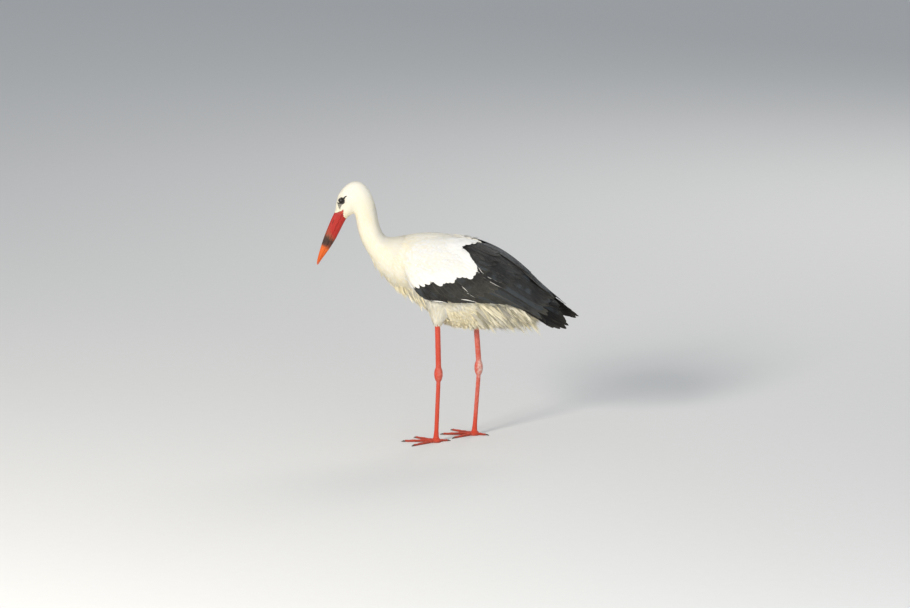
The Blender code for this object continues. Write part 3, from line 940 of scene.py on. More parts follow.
def leg_skin():
    """Red scaly skin of the legs, with a chalky wash and darker creases."""
    def paint(nodes):
        scales = nodes.effect("Small scales", Size=1.0 / sizes().leg_scale, Groove=0.16)
        soft = nodes.effect("Soft variation", Broad=22.0, Fine=140.0)
        base = nodes.mixed(scales["Each"] * 0.30, paints().leg, TINTS["leg scale"])
        wash = (nodes.mark("wash") * (0.35 + soft["Fine"] * 0.65)).clamped()
        base = nodes.mixed(wash, base, paints().leg_wash)
        base = nodes.mixed(scales["Groove"] * 0.28, base, TINTS["leg crease"])
        soil = (nodes.mark("soil") * (0.4 + soft["Fine"] * 0.5)).clamped()
        nodes.give(Base_Color=nodes.mixed(soil, base, TINTS["leg soil"]), Roughness=0.42 + wash * 0.3)
        nodes.bumped(scales["Height"] + nodes.mark("scute") * 1.4, distance=0.0005, strength=0.9)
    return finish("Leg skin", paint, Specular_IOR_Level=0.45)


def bill_horn():
    """Red horn, soiled dusky halfway down and orange to the tip, with fine streaks along it."""
    def paint(nodes):
        along, angle = nodes.mark("along"), nodes.mark("angle")
        facing, upward = angle.maths("COSINE", angle), angle.maths("SINE", angle)
        streak = nodes.noise(nodes.new("CombineXYZ", X=along * 7.0, Y=facing * 6.0, Z=upward * 6.0), 1.6, 5.0, 0.6)
        soft = nodes.effect("Soft variation", Broad=45.0, Fine=320.0)
        shifted = along + (streak - 0.5) * 0.20
        base = nodes.mixed(shifted.ranged(0.58, 0.66), paints().bill, paints().bill_tip)
        tip_streak = shifted.ranged(0.70, 1.0) * streak.ranged(0.42, 0.60, 0.7, 0.0)
        base = nodes.mixed(tip_streak, base, TINTS["bill streak"])
        base = nodes.mixed(along.ranged(0.0, 0.10, 0.5, 0.0), base, TINTS["bill root"])
        speckle, before_tip = 0.45 + soft["Broad"] * 0.55, shifted.ranged(0.60, 0.67, 1.0, 0.0)
        mud = (shifted + facing * 0.08).ranged(0.30, 0.46, 0.0, 0.85) * before_tip
        base = nodes.mixed((mud * speckle).clamped(), base, TINTS["bill mud"])
        band = (shifted + facing * 0.02).ranged(0.41, 0.51) * before_tip
        base = nodes.mixed((band * (0.45 + speckle * 0.55)).clamped(), base, paints().bill_soil)
        # painted shade inside the nostril slit
        base = nodes.mixed(nodes.mark("dark") * 0.85, base, TINTS["nostril"])
        nodes.give(Base_Color=base, Roughness=0.40 + (band + soft["Fine"]) * 0.14)
        nodes.bumped(streak * 1.2 + soft["Fine"] * 0.25, distance=0.0005, strength=0.7)
    return finish("Bill horn", paint, Specular_IOR_Level=0.34, Coat_Weight=0.05, Coat_Roughness=0.35)


def claw_horn():
    """Dark horn of the claws, paler where it is worn."""
    def paint(nodes):
        soft = nodes.effect("Soft variation", Broad=160.0, Fine=900.0)
        base = nodes.mixed(soft["Broad"] * 0.6, paints().claw, TINTS["worn claw"])
        nodes.give(Base_Color=base, Roughness=0.34 + soft["Fine"] * 0.15)
        nodes.bumped(soft["Fine"], distance=0.0002, strength=0.5)
    return finish("Claw horn", paint, Specular_IOR_Level=0.5)


def eye_glass():
    """A dark brown eye with a black pupil under a clear wet coat."""
    def paint(nodes):
        out, soft = nodes.mark("from_pupil"), nodes.effect("Soft variation", Broad=500.0, Fine=1600.0)
        base = nodes.mixed(soft["Broad"] * 0.5, paints().iris, TINTS["iris fleck"])
        base = nodes.mixed(out.ranged(0.40, 0.46), TINTS["pupil"], base)
        nodes.give(Base_Color=nodes.mixed(out.ranged(0.80, 0.92), base, TINTS["eye rim"]))
    return finish("Eye", paint, Roughness=0.25, Specular_IOR_Level=0.1, Coat_Weight=1.0, Coat_Roughness=0.02)


def floor_paint():
    """The plain floor, very slightly uneven."""
    def paint(nodes):
        soft = nodes.effect("Soft variation", Broad=1.5, Fine=30.0)
        nodes.give(Base_Color=nodes.mixed(soft["Fine"] * 0.04, paints().floor, TINTS["floor"]))
    return finish("Floor", paint, Roughness=0.9, Specular_IOR_Level=0.2)


# ---------------------------------------------------------------- the body under the feathers

COAT_DEPTH = {"head": 0.0011, "neck_upper": 0.0018, "neck_lower": 0.0028, "trunk": 0.0055, "tail": 0.0022,
              "thigh": 0.0040, "coverts": 0.0050, "secondaries": 0.0055, "tertials": 0.0055, "primaries": 0.0028}
LEAST_DEPTH, LOOSE_BELLY, LOOSE_BREAST = 0.0006, 0.0035, 0.0030       # bare skin, and what loose feathers add
DROOP_KEPT = 0.08      # how much the skin still hangs below the line of UNDERTAIL
TOE_SCUTE, SHIN_SCUTE = 0.0034, 0.0048       # lengths of the cross scales of toes and tarsus
LEG_INSIDE = 0.022     # how far the top of a leg goes on up inside the thigh
BARE_EDGE, BARE_REACH = 0.012, 0.022       # how far leg skin goes on past the thigh's hem, and round the shank

# The edge of the white on the folded wing, from the back round to the bend, as shares of the wing's box,
# and the corners that close the white side round behind it
WHITE_EDGE = [(0.447, 0.95), (0.363, 0.93), (0.357, 0.866), (0.387, 0.839), (0.410, 0.779), (0.441, 0.711),
              (0.435, 0.654), (0.410, 0.614), (0.376, 0.634), (0.323, 0.617), (0.298, 0.567), (0.269, 0.587),
              (0.239, 0.544), (0.204, 0.591), (0.145, 0.54), (0.103, 0.517), (0.071, 0.503)]
WHITE_SIDE = WHITE_EDGE + [(0.078, 0.49), (0.115, 0.42), (0.157, 0.346), (0.157, 0.28), (-0.3, 0.28), (-0.3, 1.4),
                           (0.447, 1.4)]

# Bare red skin of the gape, and the feathers that run out on to the bill at the forehead and chin, as shares of
# the upper bill's box
GAPE = [(0.772, 0.970), (0.863, 0.993), (0.965, 1.016), (1.065, 1.062), (1.042, 0.951), (1.00, 0.88), (0.75, 0.88)]
ON_BILL = [[(0.66, 0.955), (0.772, 0.970), (0.863, 0.993), (0.972, 1.012), (0.972, 1.12), (0.66, 1.12)],
           [(1.038, 0.951), (1.06, 0.912), (1.138, 0.872), (1.234, 0.855), (1.40, 0.84), (1.40, 1.0), (1.045, 1.0)]]

# The underside of the skin from the belly back under the tail, as shares of the trunk's box: long plumes hang
# below it
UNDERTAIL = [(0.60, 0.0), (0.66, 0.045), (0.794, 0.135), (0.996, 0.27), (1.12, 0.31)]


def form():
    """The outer form of the feathered body, which all feathers are laid over."""
    if "form" not in work:
        surface = Surface(even_mesh(welded(FORM_NODES, SWELL), "Body form", voxel=0.003, passes=6))
        surface.label = nearest_solids(surface.centre, FORM_NODES)[0]
        surface.vertex_label = nearest_solids(surface.co, FORM_NODES)[0]
        surface.outside = BVHTree.FromPolygons([Vector(c) for c in surface.co], surface.quads.tolist())
        work["form"] = surface
    return work["form"]


def wing_share(points):
    """Shares of the wing's box for points, seen from the side."""
    low, high = BOXES["wing"]
    return (points[:, [0, 2]] - low[[0, 2]]) / (high - low)[[0, 2]]


def within(ring, flat):
    """Whether flat points lie inside a ring of corners."""
    ring, inside = np.array(ring), np.zeros(len(flat), bool)
    for (ax, ay), (bx, by) in zip(ring, np.roll(ring, -1, axis=0)):
        if ay != by:
            crosses = (ay > flat[:, 1]) != (by > flat[:, 1])
            inside ^= crosses & (flat[:, 0] < (bx - ax) * (flat[:, 1] - ay) / (by - ay) + ax)
    return inside


def on_bill_ring(ring, points):
    """Whether points lie inside a ring given as shares of the upper bill's box, seen from the side."""
    return within([place("bill_upper", *row) for row in ring], points[:, [0, 2]])


def mask_reach(points):
    """0 in the middle of the bare black skin round an eye, 1 at its edge, more outside: an oval with a point to
    the rear and a stripe to the bill. Reckoned in millimetres."""
    centre = middle("eye_left")
    x, z = (points[:, 0] - centre[0]) * 1000, (points[:, 2] - centre[2]) * 1000
    oval = np.sqrt(((x - 0.5) / 9.0) ** 2 + ((z + 1.5) / 10.5) ** 2)
    taper = np.maximum(4.6 - 0.13 * (x + z), 0.4)
    rear = np.maximum(np.abs(z * 0.69 - x * 0.72) / taper, np.abs((x + z) - 15.0) / 15.0)
    down = np.clip((-z - 10.0) / 18.5, 0.0, 1.0)
    stripe = np.maximum(np.abs(x + 6.0) / (6.4 * (1 - down) + 1.0), np.abs(z + 18.5) / 10.0)
    return np.minimum(oval, np.minimum(rear, stripe))


def cheek_reach(where, points):
    """The mask's reach for points on the sides of the head; no mask near its middle line. where says which."""
    return np.where(np.abs(where[:, 1]) > CHEEK, mask_reach(points), FAR_OUT)


def coat_depth(points, labels, normals):
    """How far the skin lies under the form at each point: most under the tail, least round the eyes and gape."""
    base = np.zeros(len(points))
    for k, name in enumerate(FORM_NODES):
        base[labels == k] = COAT_DEPTH[next(word for word in COAT_DEPTH if word in name)]
    bald = ease(mask_reach(points), 0.7, 1.6) * ~on_bill_ring(GAPE, points)
    thin = np.where(points[:, 0] < across("head", 0.9), bald, 1.0)
    low = 1 - ease_up(points, "trunk", 0.22, 0.36)
    breast = (1 - ease_back(points, "trunk", 0.12, 0.30)) * (1 - ease_up(points, "trunk", 0.55, 0.80))
    loose = LOOSE_BELLY * ease(-normals[:, 2], 0.2, 0.9) * low + LOOSE_BREAST * breast
    soft = np.isin(labels, named("trunk", "tail", "neck_lower"))
    return base * thin + LEAST_DEPTH * (1 - thin) + np.where(soft, loose, 0.0)


def under():
    """The surface of the skin, inside the form by the coat's depth; loose feathers are rooted on it."""
    if "under" not in work:
        surface, passes = form(), 3
        co, no = surface.co.copy(), surface.no
        depth = coat_depth(surface.co, surface.vertex_label, no)
        mesh = surface.mesh.copy()
        for _ in range(passes):
            mesh.vertices.foreach_set("co", (co - no * (depth / passes)[:, None]).ravel())
            mesh.update()
            co, no = coordinates(mesh), rows_of(mesh.vertices, "normal")
        bm = bmesh.new()
        bm.from_mesh(mesh)
        line = np.array([place("trunk", *row) for row in UNDERTAIL])
        for v in bm.verts:
            floor = np.interp(v.co.x, line[:, 0], line[:, 1])
            if v.co.z < floor:
                v.co.z = floor + (v.co.z - floor) * DROOP_KEPT
        skin = work["under"] = Surface(even_mesh(bm, "skin", voxel=0.0040, passes=3))
        skin.label = surface.vertex_label[surface.nearest(skin.centre)]
    return work["under"]


def leg_form(side):
    """One leg's bare skin: shank, ankle, tarsus, foot and toes in one, reaching well up inside the thigh."""
    nodes = ["%s_%s" % (part, side) for part in LEG_PARTS] + ["toe_%s_%s" % (side, toe) for toe in TOES]
    bm, top = welded(nodes, SWELL), BOXES["shank_%s" % side][1][2]
    for v in bm.verts:
        if v.co.z > top - 0.001:
            v.co.z += LEG_INSIDE
    return even_mesh(bm, "Leg form", voxel=0.0013, passes=5)


def toe_axis(side, toe):
    """Where a toe starts under the foot's ball, and the unit way that it points."""
    start = middle("foot_%s" % side) * [1.0, 1.0, 0.0]
    ahead = middle("claw_%s_%s" % (side, toe)) - start
    ahead[2] = 0.0
    return start, ahead / np.linalg.norm(ahead)


class STORK_OT_skin(bpy.types.Operator):
    """One skin for head, neck, trunk, wings, thighs, legs and feet, under the feathers by the coat's depth"""
    bl_idname = "stork.skin"
    bl_label = "Skin"

    def execute(self, context):
        """Shrinks the body form, joins the legs to it and marks black and scaly skin."""
        obj = new_object("skin", under().mesh.copy())
        for side in SIDES:
            leg = new_object("leg", leg_form(side))
            join = obj.modifiers.new("Join leg", "BOOLEAN")
            join.operation, join.solver, join.object = "UNION", "EXACT", leg
            before = len(obj.data.vertices)
            mesh = baked(obj)
            bpy.data.objects.remove(leg)
            if len(mesh.vertices) < before:
                raise RuntimeError("a leg was not joined to the skin")
            obj = new_object("skin", mesh)
        bm = bmesh.new()
        bm.from_mesh(mesh)
        bmesh.ops.remove_doubles(bm, verts=bm.verts[:], dist=5e-5)
        main_part(bm)
        bmesh.ops.holes_fill(bm, edges=[e for e in bm.edges if e.is_boundary], sides=0)
        bm.to_mesh(mesh)
        bm.free()
        self.mark_body(mesh)
        self.mark_legs(mesh)
        smooth_shaded(mesh)
        mesh.materials.append(bare_skin())
        mesh.materials.append(leg_skin())
        mesh.polygons.foreach_set("material_index", self.bare_legs(mesh).astype(np.int32))
        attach(obj, "root")
        legs = [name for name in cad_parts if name.split("_")[0] in (*LEG_PARTS, "toe")]
        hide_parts(*(FORM_NODES + legs))
        return {"FINISHED"}

    def mark_body(self, mesh):
        """Writes where the skin is black, under black feathers and round the eyes, and where it is red."""
        surface, co = form(), coordinates(mesh)
        label = surface.vertex_label[surface.nearest(co)]
        wing, quills = np.isin(label, named("wing")), np.isin(label, named("primaries"))
        dark = np.where(wing & ~within(WHITE_SIDE, wing_share(co)) | quills, 1.0, 0.0)
        eyes = (co[:, 0] < across("head", 0.8)) & (np.abs(co[:, 1]) > CHEEK)
        set_value(mesh, "dark", np.maximum(dark, np.where(eyes, 1 - ease(mask_reach(co), 0.95, 1.15), 0.0)))
        set_value(mesh, "gape", on_bill_ring(GAPE, co))

    def mark_legs(self, mesh):
        """Writes the chalky wash, the soil and the cross scales of tarsus and toes."""
        co = coordinates(mesh)
        wash, scute = np.zeros(len(co)), np.zeros(len(co))
        for side in SIDES:
            ankle, mine = middle("ankle_%s" % side), np.sign(co[:, 1]) == SIDES[side]
            near = np.linalg.norm(co - ankle, axis=1)
            amount = 1.0 if side == "right" else 0.22
            fore = ease(co[:, 0] - ankle[0] + 0.012, 0.0, 0.014)
            wash = np.maximum(wash, amount * (1 - ease(near, 0.012, 0.05)) * fore)
            wash = np.maximum(wash, np.where(mine, 0.25 * amount * ease(co[:, 2], 0.03, 0.12), 0))
            for toe in TOES:
                start, ahead = toe_axis(side, toe)
                offset = co - start
                run = offset @ ahead
                off = np.abs(offset[:, 0] * ahead[1] - offset[:, 1] * ahead[0])
                on = (run > 0.010) & (off < 0.0075) & (co[:, 2] < 0.016) & (co[:, 2] > 0.0035)
                scute = np.where(on, 0.5 + 0.5 * np.cos(run / TOE_SCUTE * math.tau), scute)
            shin = BOXES["tarsus_%s" % side]
            front = (co[:, 2] > shin[0][2] + 0.01) & (co[:, 2] < shin[1][2] - 0.01) & mine
            scute = np.where(front, 0.3 + 0.3 * np.cos(co[:, 2] / SHIN_SCUTE * math.tau), scute)
        soil = 0.75 * (1 - ease(co[:, 2], 0.0, 0.012))
        for name, values in (("wash", wash), ("soil", soil), ("scute", scute)):
            set_value(mesh, name, values)

    def bare_legs(self, mesh):
        """Which faces are scaly leg skin: all below the thighs, and round each shank a little further up."""
        middles = np.array([p.center[:] for p in mesh.polygons])
        bare = middles[:, 2] < min(BOXES["thigh_%s" % side][0][2] for side in SIDES) - BARE_EDGE
        for side in SIDES:
            near = np.linalg.norm((middles - middle("shank_%s" % side))[:, :2], axis=1) < BARE_REACH
            bare |= near & (middles[:, 2] < BOXES["shank_%s" % side][1][2] + BARE_EDGE)
        return bare


# ---------------------------------------------------------------- the coats of feathers

BODY_ROWS = (0.0, 0.25, 0.5, 0.72, 0.88, 0.96, 1.0)
ROOTED = -0.0010       # loose feathers start this far inside the skin
LEAST_CREAM = 0.38     # how warm the cleanest white is
BILL = ("bill_upper", "bill_lower")
# Three lots of plumes under the tail: seed, gap between roots, wisps, width, and how far back they point
VENT_PLUMES = ((63, 0.0085, 7, 0.019, 0.80), (64, 0.0100, 3, 0.010, 0.86), (65, 0.0110, 5, 0.013, 0.66))


def strew(plumage, shapes, points, lengths, widths, thick, low, high, seed, wander, twist=0.06, camber=0.22,
          surface=None, way=lie, loose=0.0, fall=0.3, aim=None, **marks):
    """Lays scattered feathers, each turned, rolled and sized a little differently. They follow the way over the
    surface, or hang free along aim."""
    chance, count, steps = np.random.default_rng(seed), len(points), 6
    lengths = lengths * chance.uniform(0.85, 1.15, count)
    widths = widths * chance.uniform(0.88, 1.12, count)
    lean = chance.normal(0.0, wander, count)
    kind = chance.integers(0, len(shapes), count)
    roll = chance.normal(0.0, twist, count)[:, None]
    spot = unrolled(points)
    low, high = spread_over(low, count), high * chance.uniform(0.5, 1.3, count)
    values = {"tone": chance.random(count), "cream": np.zeros(count), "dark": np.zeros(count)}
    values.update({name: spread_over(mark, count) for name, mark in marks.items()})
    if aim is None:
        path, normals = laid(surface or form(), points, lengths, steps, way, loose, lean, fall)
    else:
        turn = math.atan2(aim[1], aim[0]) + lean
        outward = 0.02 * np.sign(points[:, 1]) + chance.normal(0.0, 0.06, count)
        aims = unit(np.stack([np.cos(turn), outward, np.sin(turn)], axis=1))
        path, normals = hung(surface, points, lengths, steps, aims, fall)
    for k, shape in enumerate(shapes):
        use = kind == k
        if use.any():
            plumage.add(shape, path[use], normals[use], widths[use], thick, low[use], high[use], camber, roll[use],
                        spot[use], {name: value[use] for name, value in values.items()}, rise=0.8)


def creaminess(points):
    """How warm the white is: cream on neck, breast and belly, clean on back and wings."""
    x = points[:, 0]
    neck = ease(-x, -0.02 - across("trunk", 0.20), 0.20)
    breast = (1 - ease_back(points, "trunk", 0.10, 0.34)) * 0.75
    belly = 1 - ease_up(points, "trunk", 0.18, 0.52)
    crown = ease_up(points, "head", 0.35, 0.9) * (x < across("head", 1.2))
    value = np.maximum(np.maximum(neck * 0.62, breast * 0.85), belly)
    return np.clip(value * (1 - 0.30 * crown), LEAST_CREAM, 1.0)


def varied(chance, points, least, more):
    """Chance shares, one for each point."""
    return least + more * chance.random(len(points))


def bill_line():
    """The bill's middle line, seen from the side: its root, unit direction and length."""
    culmen, gape, tip = (np.array(place("bill_upper", *share)) for share in ((0.74, 1.0), (0.987, 0.917), (0.0, 0.0)))
    root = (culmen + gape) * 0.5
    length = float(np.linalg.norm(tip - root))
    return root, (tip - root) / length, length


class STORK_OT_head_feathers(bpy.types.Operator):
    """Short dense feathers of the head, with small black ones round the bare mask"""
    bl_idname = "stork.head_feathers"
    bl_label = "Head feathers"

    def execute(self, context):
        """Strews the feathers over the head, leaving the mask, the eyes and the bill bare."""
        surface = form()
        centre = surface.centre
        root, axis, _ = bill_line()
        ahead = np.array([axis[0], 0.0, axis[1]])
        past = (centre - np.array([root[0], 0.0, root[1]])) @ ahead
        cap = (surface.face_no @ ahead > 0.55) & (past > -0.004)
        eye = (centre - middle("eye_left"))[:, [0, 2]] / [0.0080, 0.0070]
        open_eye = (np.abs(centre[:, 1]) > CHEEK) & ((eye ** 2).sum(1) < 1.0)
        head = surface.on("head") & ~open_eye & ~cap & ~on_bill_ring(GAPE, centre)
        at_bill = np.linalg.norm(centre[:, [0, 2]] - root, axis=1)
        spacing = 0.00096 + 0.00044 * ease(at_bill, 0.03, 0.10)
        spacing = spacing * np.where(cheek_reach(centre, centre) < 1.0, 0.85, 1.0)
        plumage = Plumage(soft=0.9)
        self.lay(plumage, surface, scattered(surface, head, spacing=spacing, seed=11), root, seed=13, proud=0.0)
        face = Surface(even_mesh(welded(("head", *BILL), SWELL), "Face form", voxel=0.0010, passes=5))
        edge = np.any([on_bill_ring(ring, face.centre) for ring in ON_BILL], axis=0)
        edge &= nearest_solids(face.centre, BILL)[1] < 0.0050
        self.lay(plumage, face, scattered(face, edge, spacing=0.00085, seed=14), root, seed=15, proud=0.0007)
        plumage.joined("head_feathers", white_plumage("White down"))
        return {"FINISHED"}

    def lay(self, plumage, surface, points, root, seed, proud):
        """Feathers at these roots, black in the mask and smallest beside the bill and the eyes. proud is how far
        those at the edge of the bill stand off it."""
        chance, length = np.random.default_rng(seed), sizes().head_feather
        points = points[~on_bill_ring(GAPE, points + lie(points) * length * 0.32)]
        proud = proud * (1 - ease(nearest_solids(points, BILL)[1], 0.0008, 0.0050))
        at_bill = np.linalg.norm(points[:, [0, 2]] - root, axis=1)
        size = 0.55 + 0.55 * ease(at_bill, 0.015, 0.10)
        edge = cheek_reach(points, points)
        size = size * (0.55 + 0.45 * ease(edge, 1.0, 1.8))
        over = cheek_reach(points, points + lie(points) * (length * 0.5 * size)[:, None])
        chin = (1 - ease_up(points, "head", 0.0, 0.30)) * (points[:, 0] < across("head", 0.55))
        masked = np.minimum(edge, over + 0.12) < 1.0 + chance.normal(0, 0.05, len(points))
        dusky = np.where(points[:, 2] < middle("eye_left")[2] - 0.013, chance.uniform(0.55, 0.9, len(points)), 0.96)
        dark = np.maximum(np.where(masked, dusky, 0.0), np.where(edge < 1.5, 0.22 * chance.random(len(points)) ** 2, 0))
        shapes = variants(3, 2, (0.0, 0.55, 1.0), pointed(root=0.3, narrow=0.5, power=1.8))
        strew(plumage, shapes, points, length * size, 0.0018 + 0.0009 * size, thick=0.00007,
              low=proud - 0.0006 * size, high=proud * 0.7 + 0.00025 * size, seed=seed + 10, wander=0.12, camber=0.12,
              surface=surface, cream=creaminess(points) * varied(chance, points, 0.5, 0.5) + 0.45 * chin, dark=dark)


def along_neck(heights):
    """The neck's middle line: how far forward it is at each height."""
    rows = np.array([place("neck_lower", 0.75, 0.0), place("neck_lower", 0.50, 0.55), place("neck_upper", 0.55, 0.0),
                     place("neck_upper", 0.45, 0.55), place("head", 0.7, 0.3)])
    return np.interp(heights, rows[:, 1], rows[:, 0])


class STORK_OT_neck_feathers(bpy.types.Operator):
    """Narrow feathers down the neck"""
    bl_idname = "stork.neck_feathers"
    bl_label = "Neck feathers"

    def execute(self, context):
        """Strews narrow pointed feathers over the upper and the lower neck, each a piece of its own."""
        surface = form()
        centre, top, half = surface.centre, level("neck_upper", 1.0) + 0.008, level("neck_upper", 0.12)
        nape = surface.on("head") & (centre[:, 2] < top) & (centre[:, 0] > across("head", 0.62))
        neck, upper = surface.on("neck") | nape, centre[:, 2] > half
        for name, where, gap in (("neck_feathers", upper, 0.0015), ("throat_feathers", ~upper, 0.0018)):
            points = scattered(surface, neck & where, spacing=gap, seed=21)
            drop = 1 - ease(points[:, 2], level("neck_lower", 0.1), top)
            chance = np.random.default_rng(22)
            plumage = Plumage(soft=0.92)
            shapes = variants(4, 2, (0.0, 0.35, 0.75, 1.0), pointed(root=0.3, narrow=0.45, power=2.0), frayed=0.3)
            # painted shade down the back of the neck: the feathers there are made darker and less cream
            shade = ease(points[:, 0] - along_neck(points[:, 2]), 0.01, 0.035)
            cream = creaminess(points) * varied(chance, points, 0.6, 0.6) * (1 - 0.3 * shade)
            strew(plumage, shapes, points, sizes().neck_feather * (0.60 + 0.95 * drop), 0.0028 + 0.0020 * drop,
                  thick=0.00009, low=-0.0009 - 0.0005 * drop, high=0.0004, seed=23, wander=0.10, camber=0.12,
                  loose=0.10, cream=cream, dark=0.10 * shade)
            plumage.joined(name, white_plumage("White neck"))
        return {"FINISHED"}


class STORK_OT_body_feathers(bpy.types.Operator):
    """Rounded feathers of the back, the hanging ruff of the breast, and loose feathers of flanks and belly"""
    bl_idname = "stork.body_feathers"
    bl_label = "Body feathers"

    def execute(self, context):
        """Lays each tract of the trunk as a piece of its own."""
        self.back()
        self.belly()
        self.ruff()
        self.vent()
        return {"FINISHED"}

    def waist(self, centre, share):
        """The height that parts the back from the belly, which falls towards the rear."""
        return level("trunk", share) - 0.06 * (centre[:, 0] - across("trunk", 0.2))

    def back(self):
        """The smooth feathers of the mantle and the sides of the breast."""
        surface = form()
        high = surface.centre[:, 2] > self.waist(surface.centre, 0.50)
        points = scattered(surface, surface.on("trunk") & high, spacing=0.0043, seed=31)
        chance = np.random.default_rng(32)
        front, low = 1 - ease_back(points, "trunk", 0.05, 0.35), 1 - ease_up(points, "trunk", 0.50, 0.72)
        plumage = Plumage(soft=0.92)
        shapes = variants(4, 4, BODY_ROWS, rounded(tip=0.42, root=0.3, narrow=0.3), frayed=0.45)
        # the low front of the breast is warmer cream, and darker there as painted shade
        cream = np.clip(creaminess(points) * varied(chance, points, 0.5, 0.7) + 0.2 * front * low, 0, 1)
        strew(plumage, shapes, points, sizes().back_feather * (1 - 0.25 * front), 0.0130 - 0.0045 * front,
              thick=0.00014, low=-0.0030, high=0.0002, seed=33, wander=0.10, twist=0.03, camber=0.12,
              cream=cream, dark=0.22 * front * low)
        plumage.joined("back_feathers", white_plumage())

    def belly(self):
        """Loose hair-like feathers of flanks, belly and lower breast."""
        surface = under()
        low = surface.centre[:, 2] <= self.waist(surface.centre, 0.53)
        points = scattered(surface, surface.on("trunk") & low, spacing=0.0060, seed=41)
        chance = np.random.default_rng(42)
        down = ease(-surface.near(points)[1][:, 2], 0.0, 0.9)
        plumage = Plumage(soft=0.85)
        strew(plumage, tufts(wisps=5, spread=0.9, seed=0), points, sizes().belly_feather * (0.85 + 0.25 * down), 0.0130,
              thick=0.00030, low=ROOTED, high=0.0060 + 0.0030 * down, seed=43, wander=0.20, twist=0.10,
              surface=surface, way=sagging_lie, loose=0.35 + 0.45 * down, fall=0.7,
              cream=np.clip(creaminess(points) * varied(chance, points, 0.6, 0.7), 0, 1))
        plumage.joined("belly_feathers", white_plumage("White down feathers"))

    def ruff(self):
        """Long pointed feathers that hang from the lower neck and breast, and a shorter fringe below them."""
        surface = under()
        centre, normal = surface.centre, surface.face_no
        where = surface.on("neck_lower", "trunk") & (centre[:, 0] < across("trunk", 0.27))
        where &= (centre[:, 2] < level("neck_lower", 0.42)) & (normal[:, 0] * 0.8 - normal[:, 2] * 0.6 < 0.2)
        where &= (normal[:, 2] < 0.25) & (normal[:, 0] < 0.15)
        points = scattered(surface, where, spacing=0.0060, seed=51)
        chance = np.random.default_rng(52)
        low = 1 - ease(points[:, 2], level("trunk", 0.35), level("neck_lower", 0.6))
        plumage = Plumage(soft=0.85)
        # dark lays a painted shade on the lowest ruff feathers
        strew(plumage, tufts(wisps=4, spread=0.7, seed=10, body=0.7, fine=0.20), points,
              sizes().ruff_feather * (0.55 + 0.55 * low), 0.0085, thick=0.0003, low=ROOTED,
              high=0.0045 + 0.0035 * low, seed=53, wander=0.12, twist=0.10, surface=surface,
              loose=0.25 + 0.60 * low, fall=1.1,
              cream=np.clip(creaminess(points) * varied(chance, points, 0.5, 0.9), 0, 1), dark=0.18 * low)
        fringe = where & (centre[:, 2] < level("neck_lower", 0.40)) & (centre[:, 2] > level("trunk", 0.30))
        points = scattered(surface, fringe & (np.abs(centre[:, 1]) < 0.055), spacing=0.0078, seed=54)
        lengths = chance.uniform(0.030, 0.055, len(points))
        strew(plumage, tufts(wisps=4, spread=0.6, seed=60, body=0.75, fine=0.11), points, lengths, 0.0085, thick=0.0003,
              low=ROOTED, high=0.0010, seed=55, wander=0.12, twist=0.12, surface=surface, fall=0.05,
              aim=(0.50, -0.866), cream=varied(chance, points, 0.7, 0.3))
        plumage.joined("breast_ruff", white_plumage("White down feathers"))

    def vent(self):
        """Long loose plumes that hang under the tail, and the ragged fringe of the belly, their tips free."""
        surface = under()
        centre, down, trunk = surface.centre, -surface.face_no[:, 2], surface.on("trunk", "tail")
        chance, plumage = np.random.default_rng(62), Plumage(soft=0.85)
        border = across("trunk", 0.56) + 0.045 * chance.random(len(centre)) ** 0.7
        rear = trunk & (centre[:, 0] > border) & (centre[:, 2] < level("trunk", 0.36)) & (down > -0.35)
        lowest, hindmost, longest = level("trunk", 0.012), across("trunk", 1.02), sizes().vent_feather * 1.1
        for seed, gap, wisps, wide, back in VENT_PLUMES:
            points = scattered(surface, rear, spacing=gap, seed=seed)
            reach = np.minimum((points[:, 2] - lowest) / 0.62, (hindmost - points[:, 0]) / 0.72)
            length = np.clip(reach * chance.uniform(0.72, 1.08, len(points)), 0.022, longest)
            cream = varied(chance, points, 0.45, 0.55)
            # dark is a painted shade under the wing, darkening each plume by a random amount
            strew(plumage, tufts(wisps=wisps, spread=0.8, seed=20 + seed, body=0.8, fine=0.09), points, length,
                  wide * np.clip(length / 0.07, 0.5, 1.0), thick=0.00035, low=ROOTED, high=0.0030, seed=seed,
                  wander=0.10, twist=0.12, surface=surface, fall=0.10, aim=(back, -math.sqrt(1 - back * back)),
                  cream=cream, dark=0.08 + 0.60 * chance.random(len(points)) ** 1.5)
        fringe = trunk & (down > 0.45) & (centre[:, 0] > across("trunk", 0.36)) & (centre[:, 0] < across("trunk", 0.66))
        points = scattered(surface, fringe, spacing=0.0080, seed=66)
        lengths = chance.uniform(0.012, 0.026, len(points))
        strew(plumage, tufts(wisps=6, spread=0.9, seed=90, body=0.6, fine=0.10), points, lengths, 0.0100, thick=0.0003,
              low=ROOTED, high=0.0010, seed=67, wander=0.22, twist=0.12, surface=surface, fall=0.15,
              aim=(0.62, -0.78), cream=varied(chance, points, 0.55, 0.45))
        plumage.joined("undertail_coverts", white_plumage("White down feathers"))


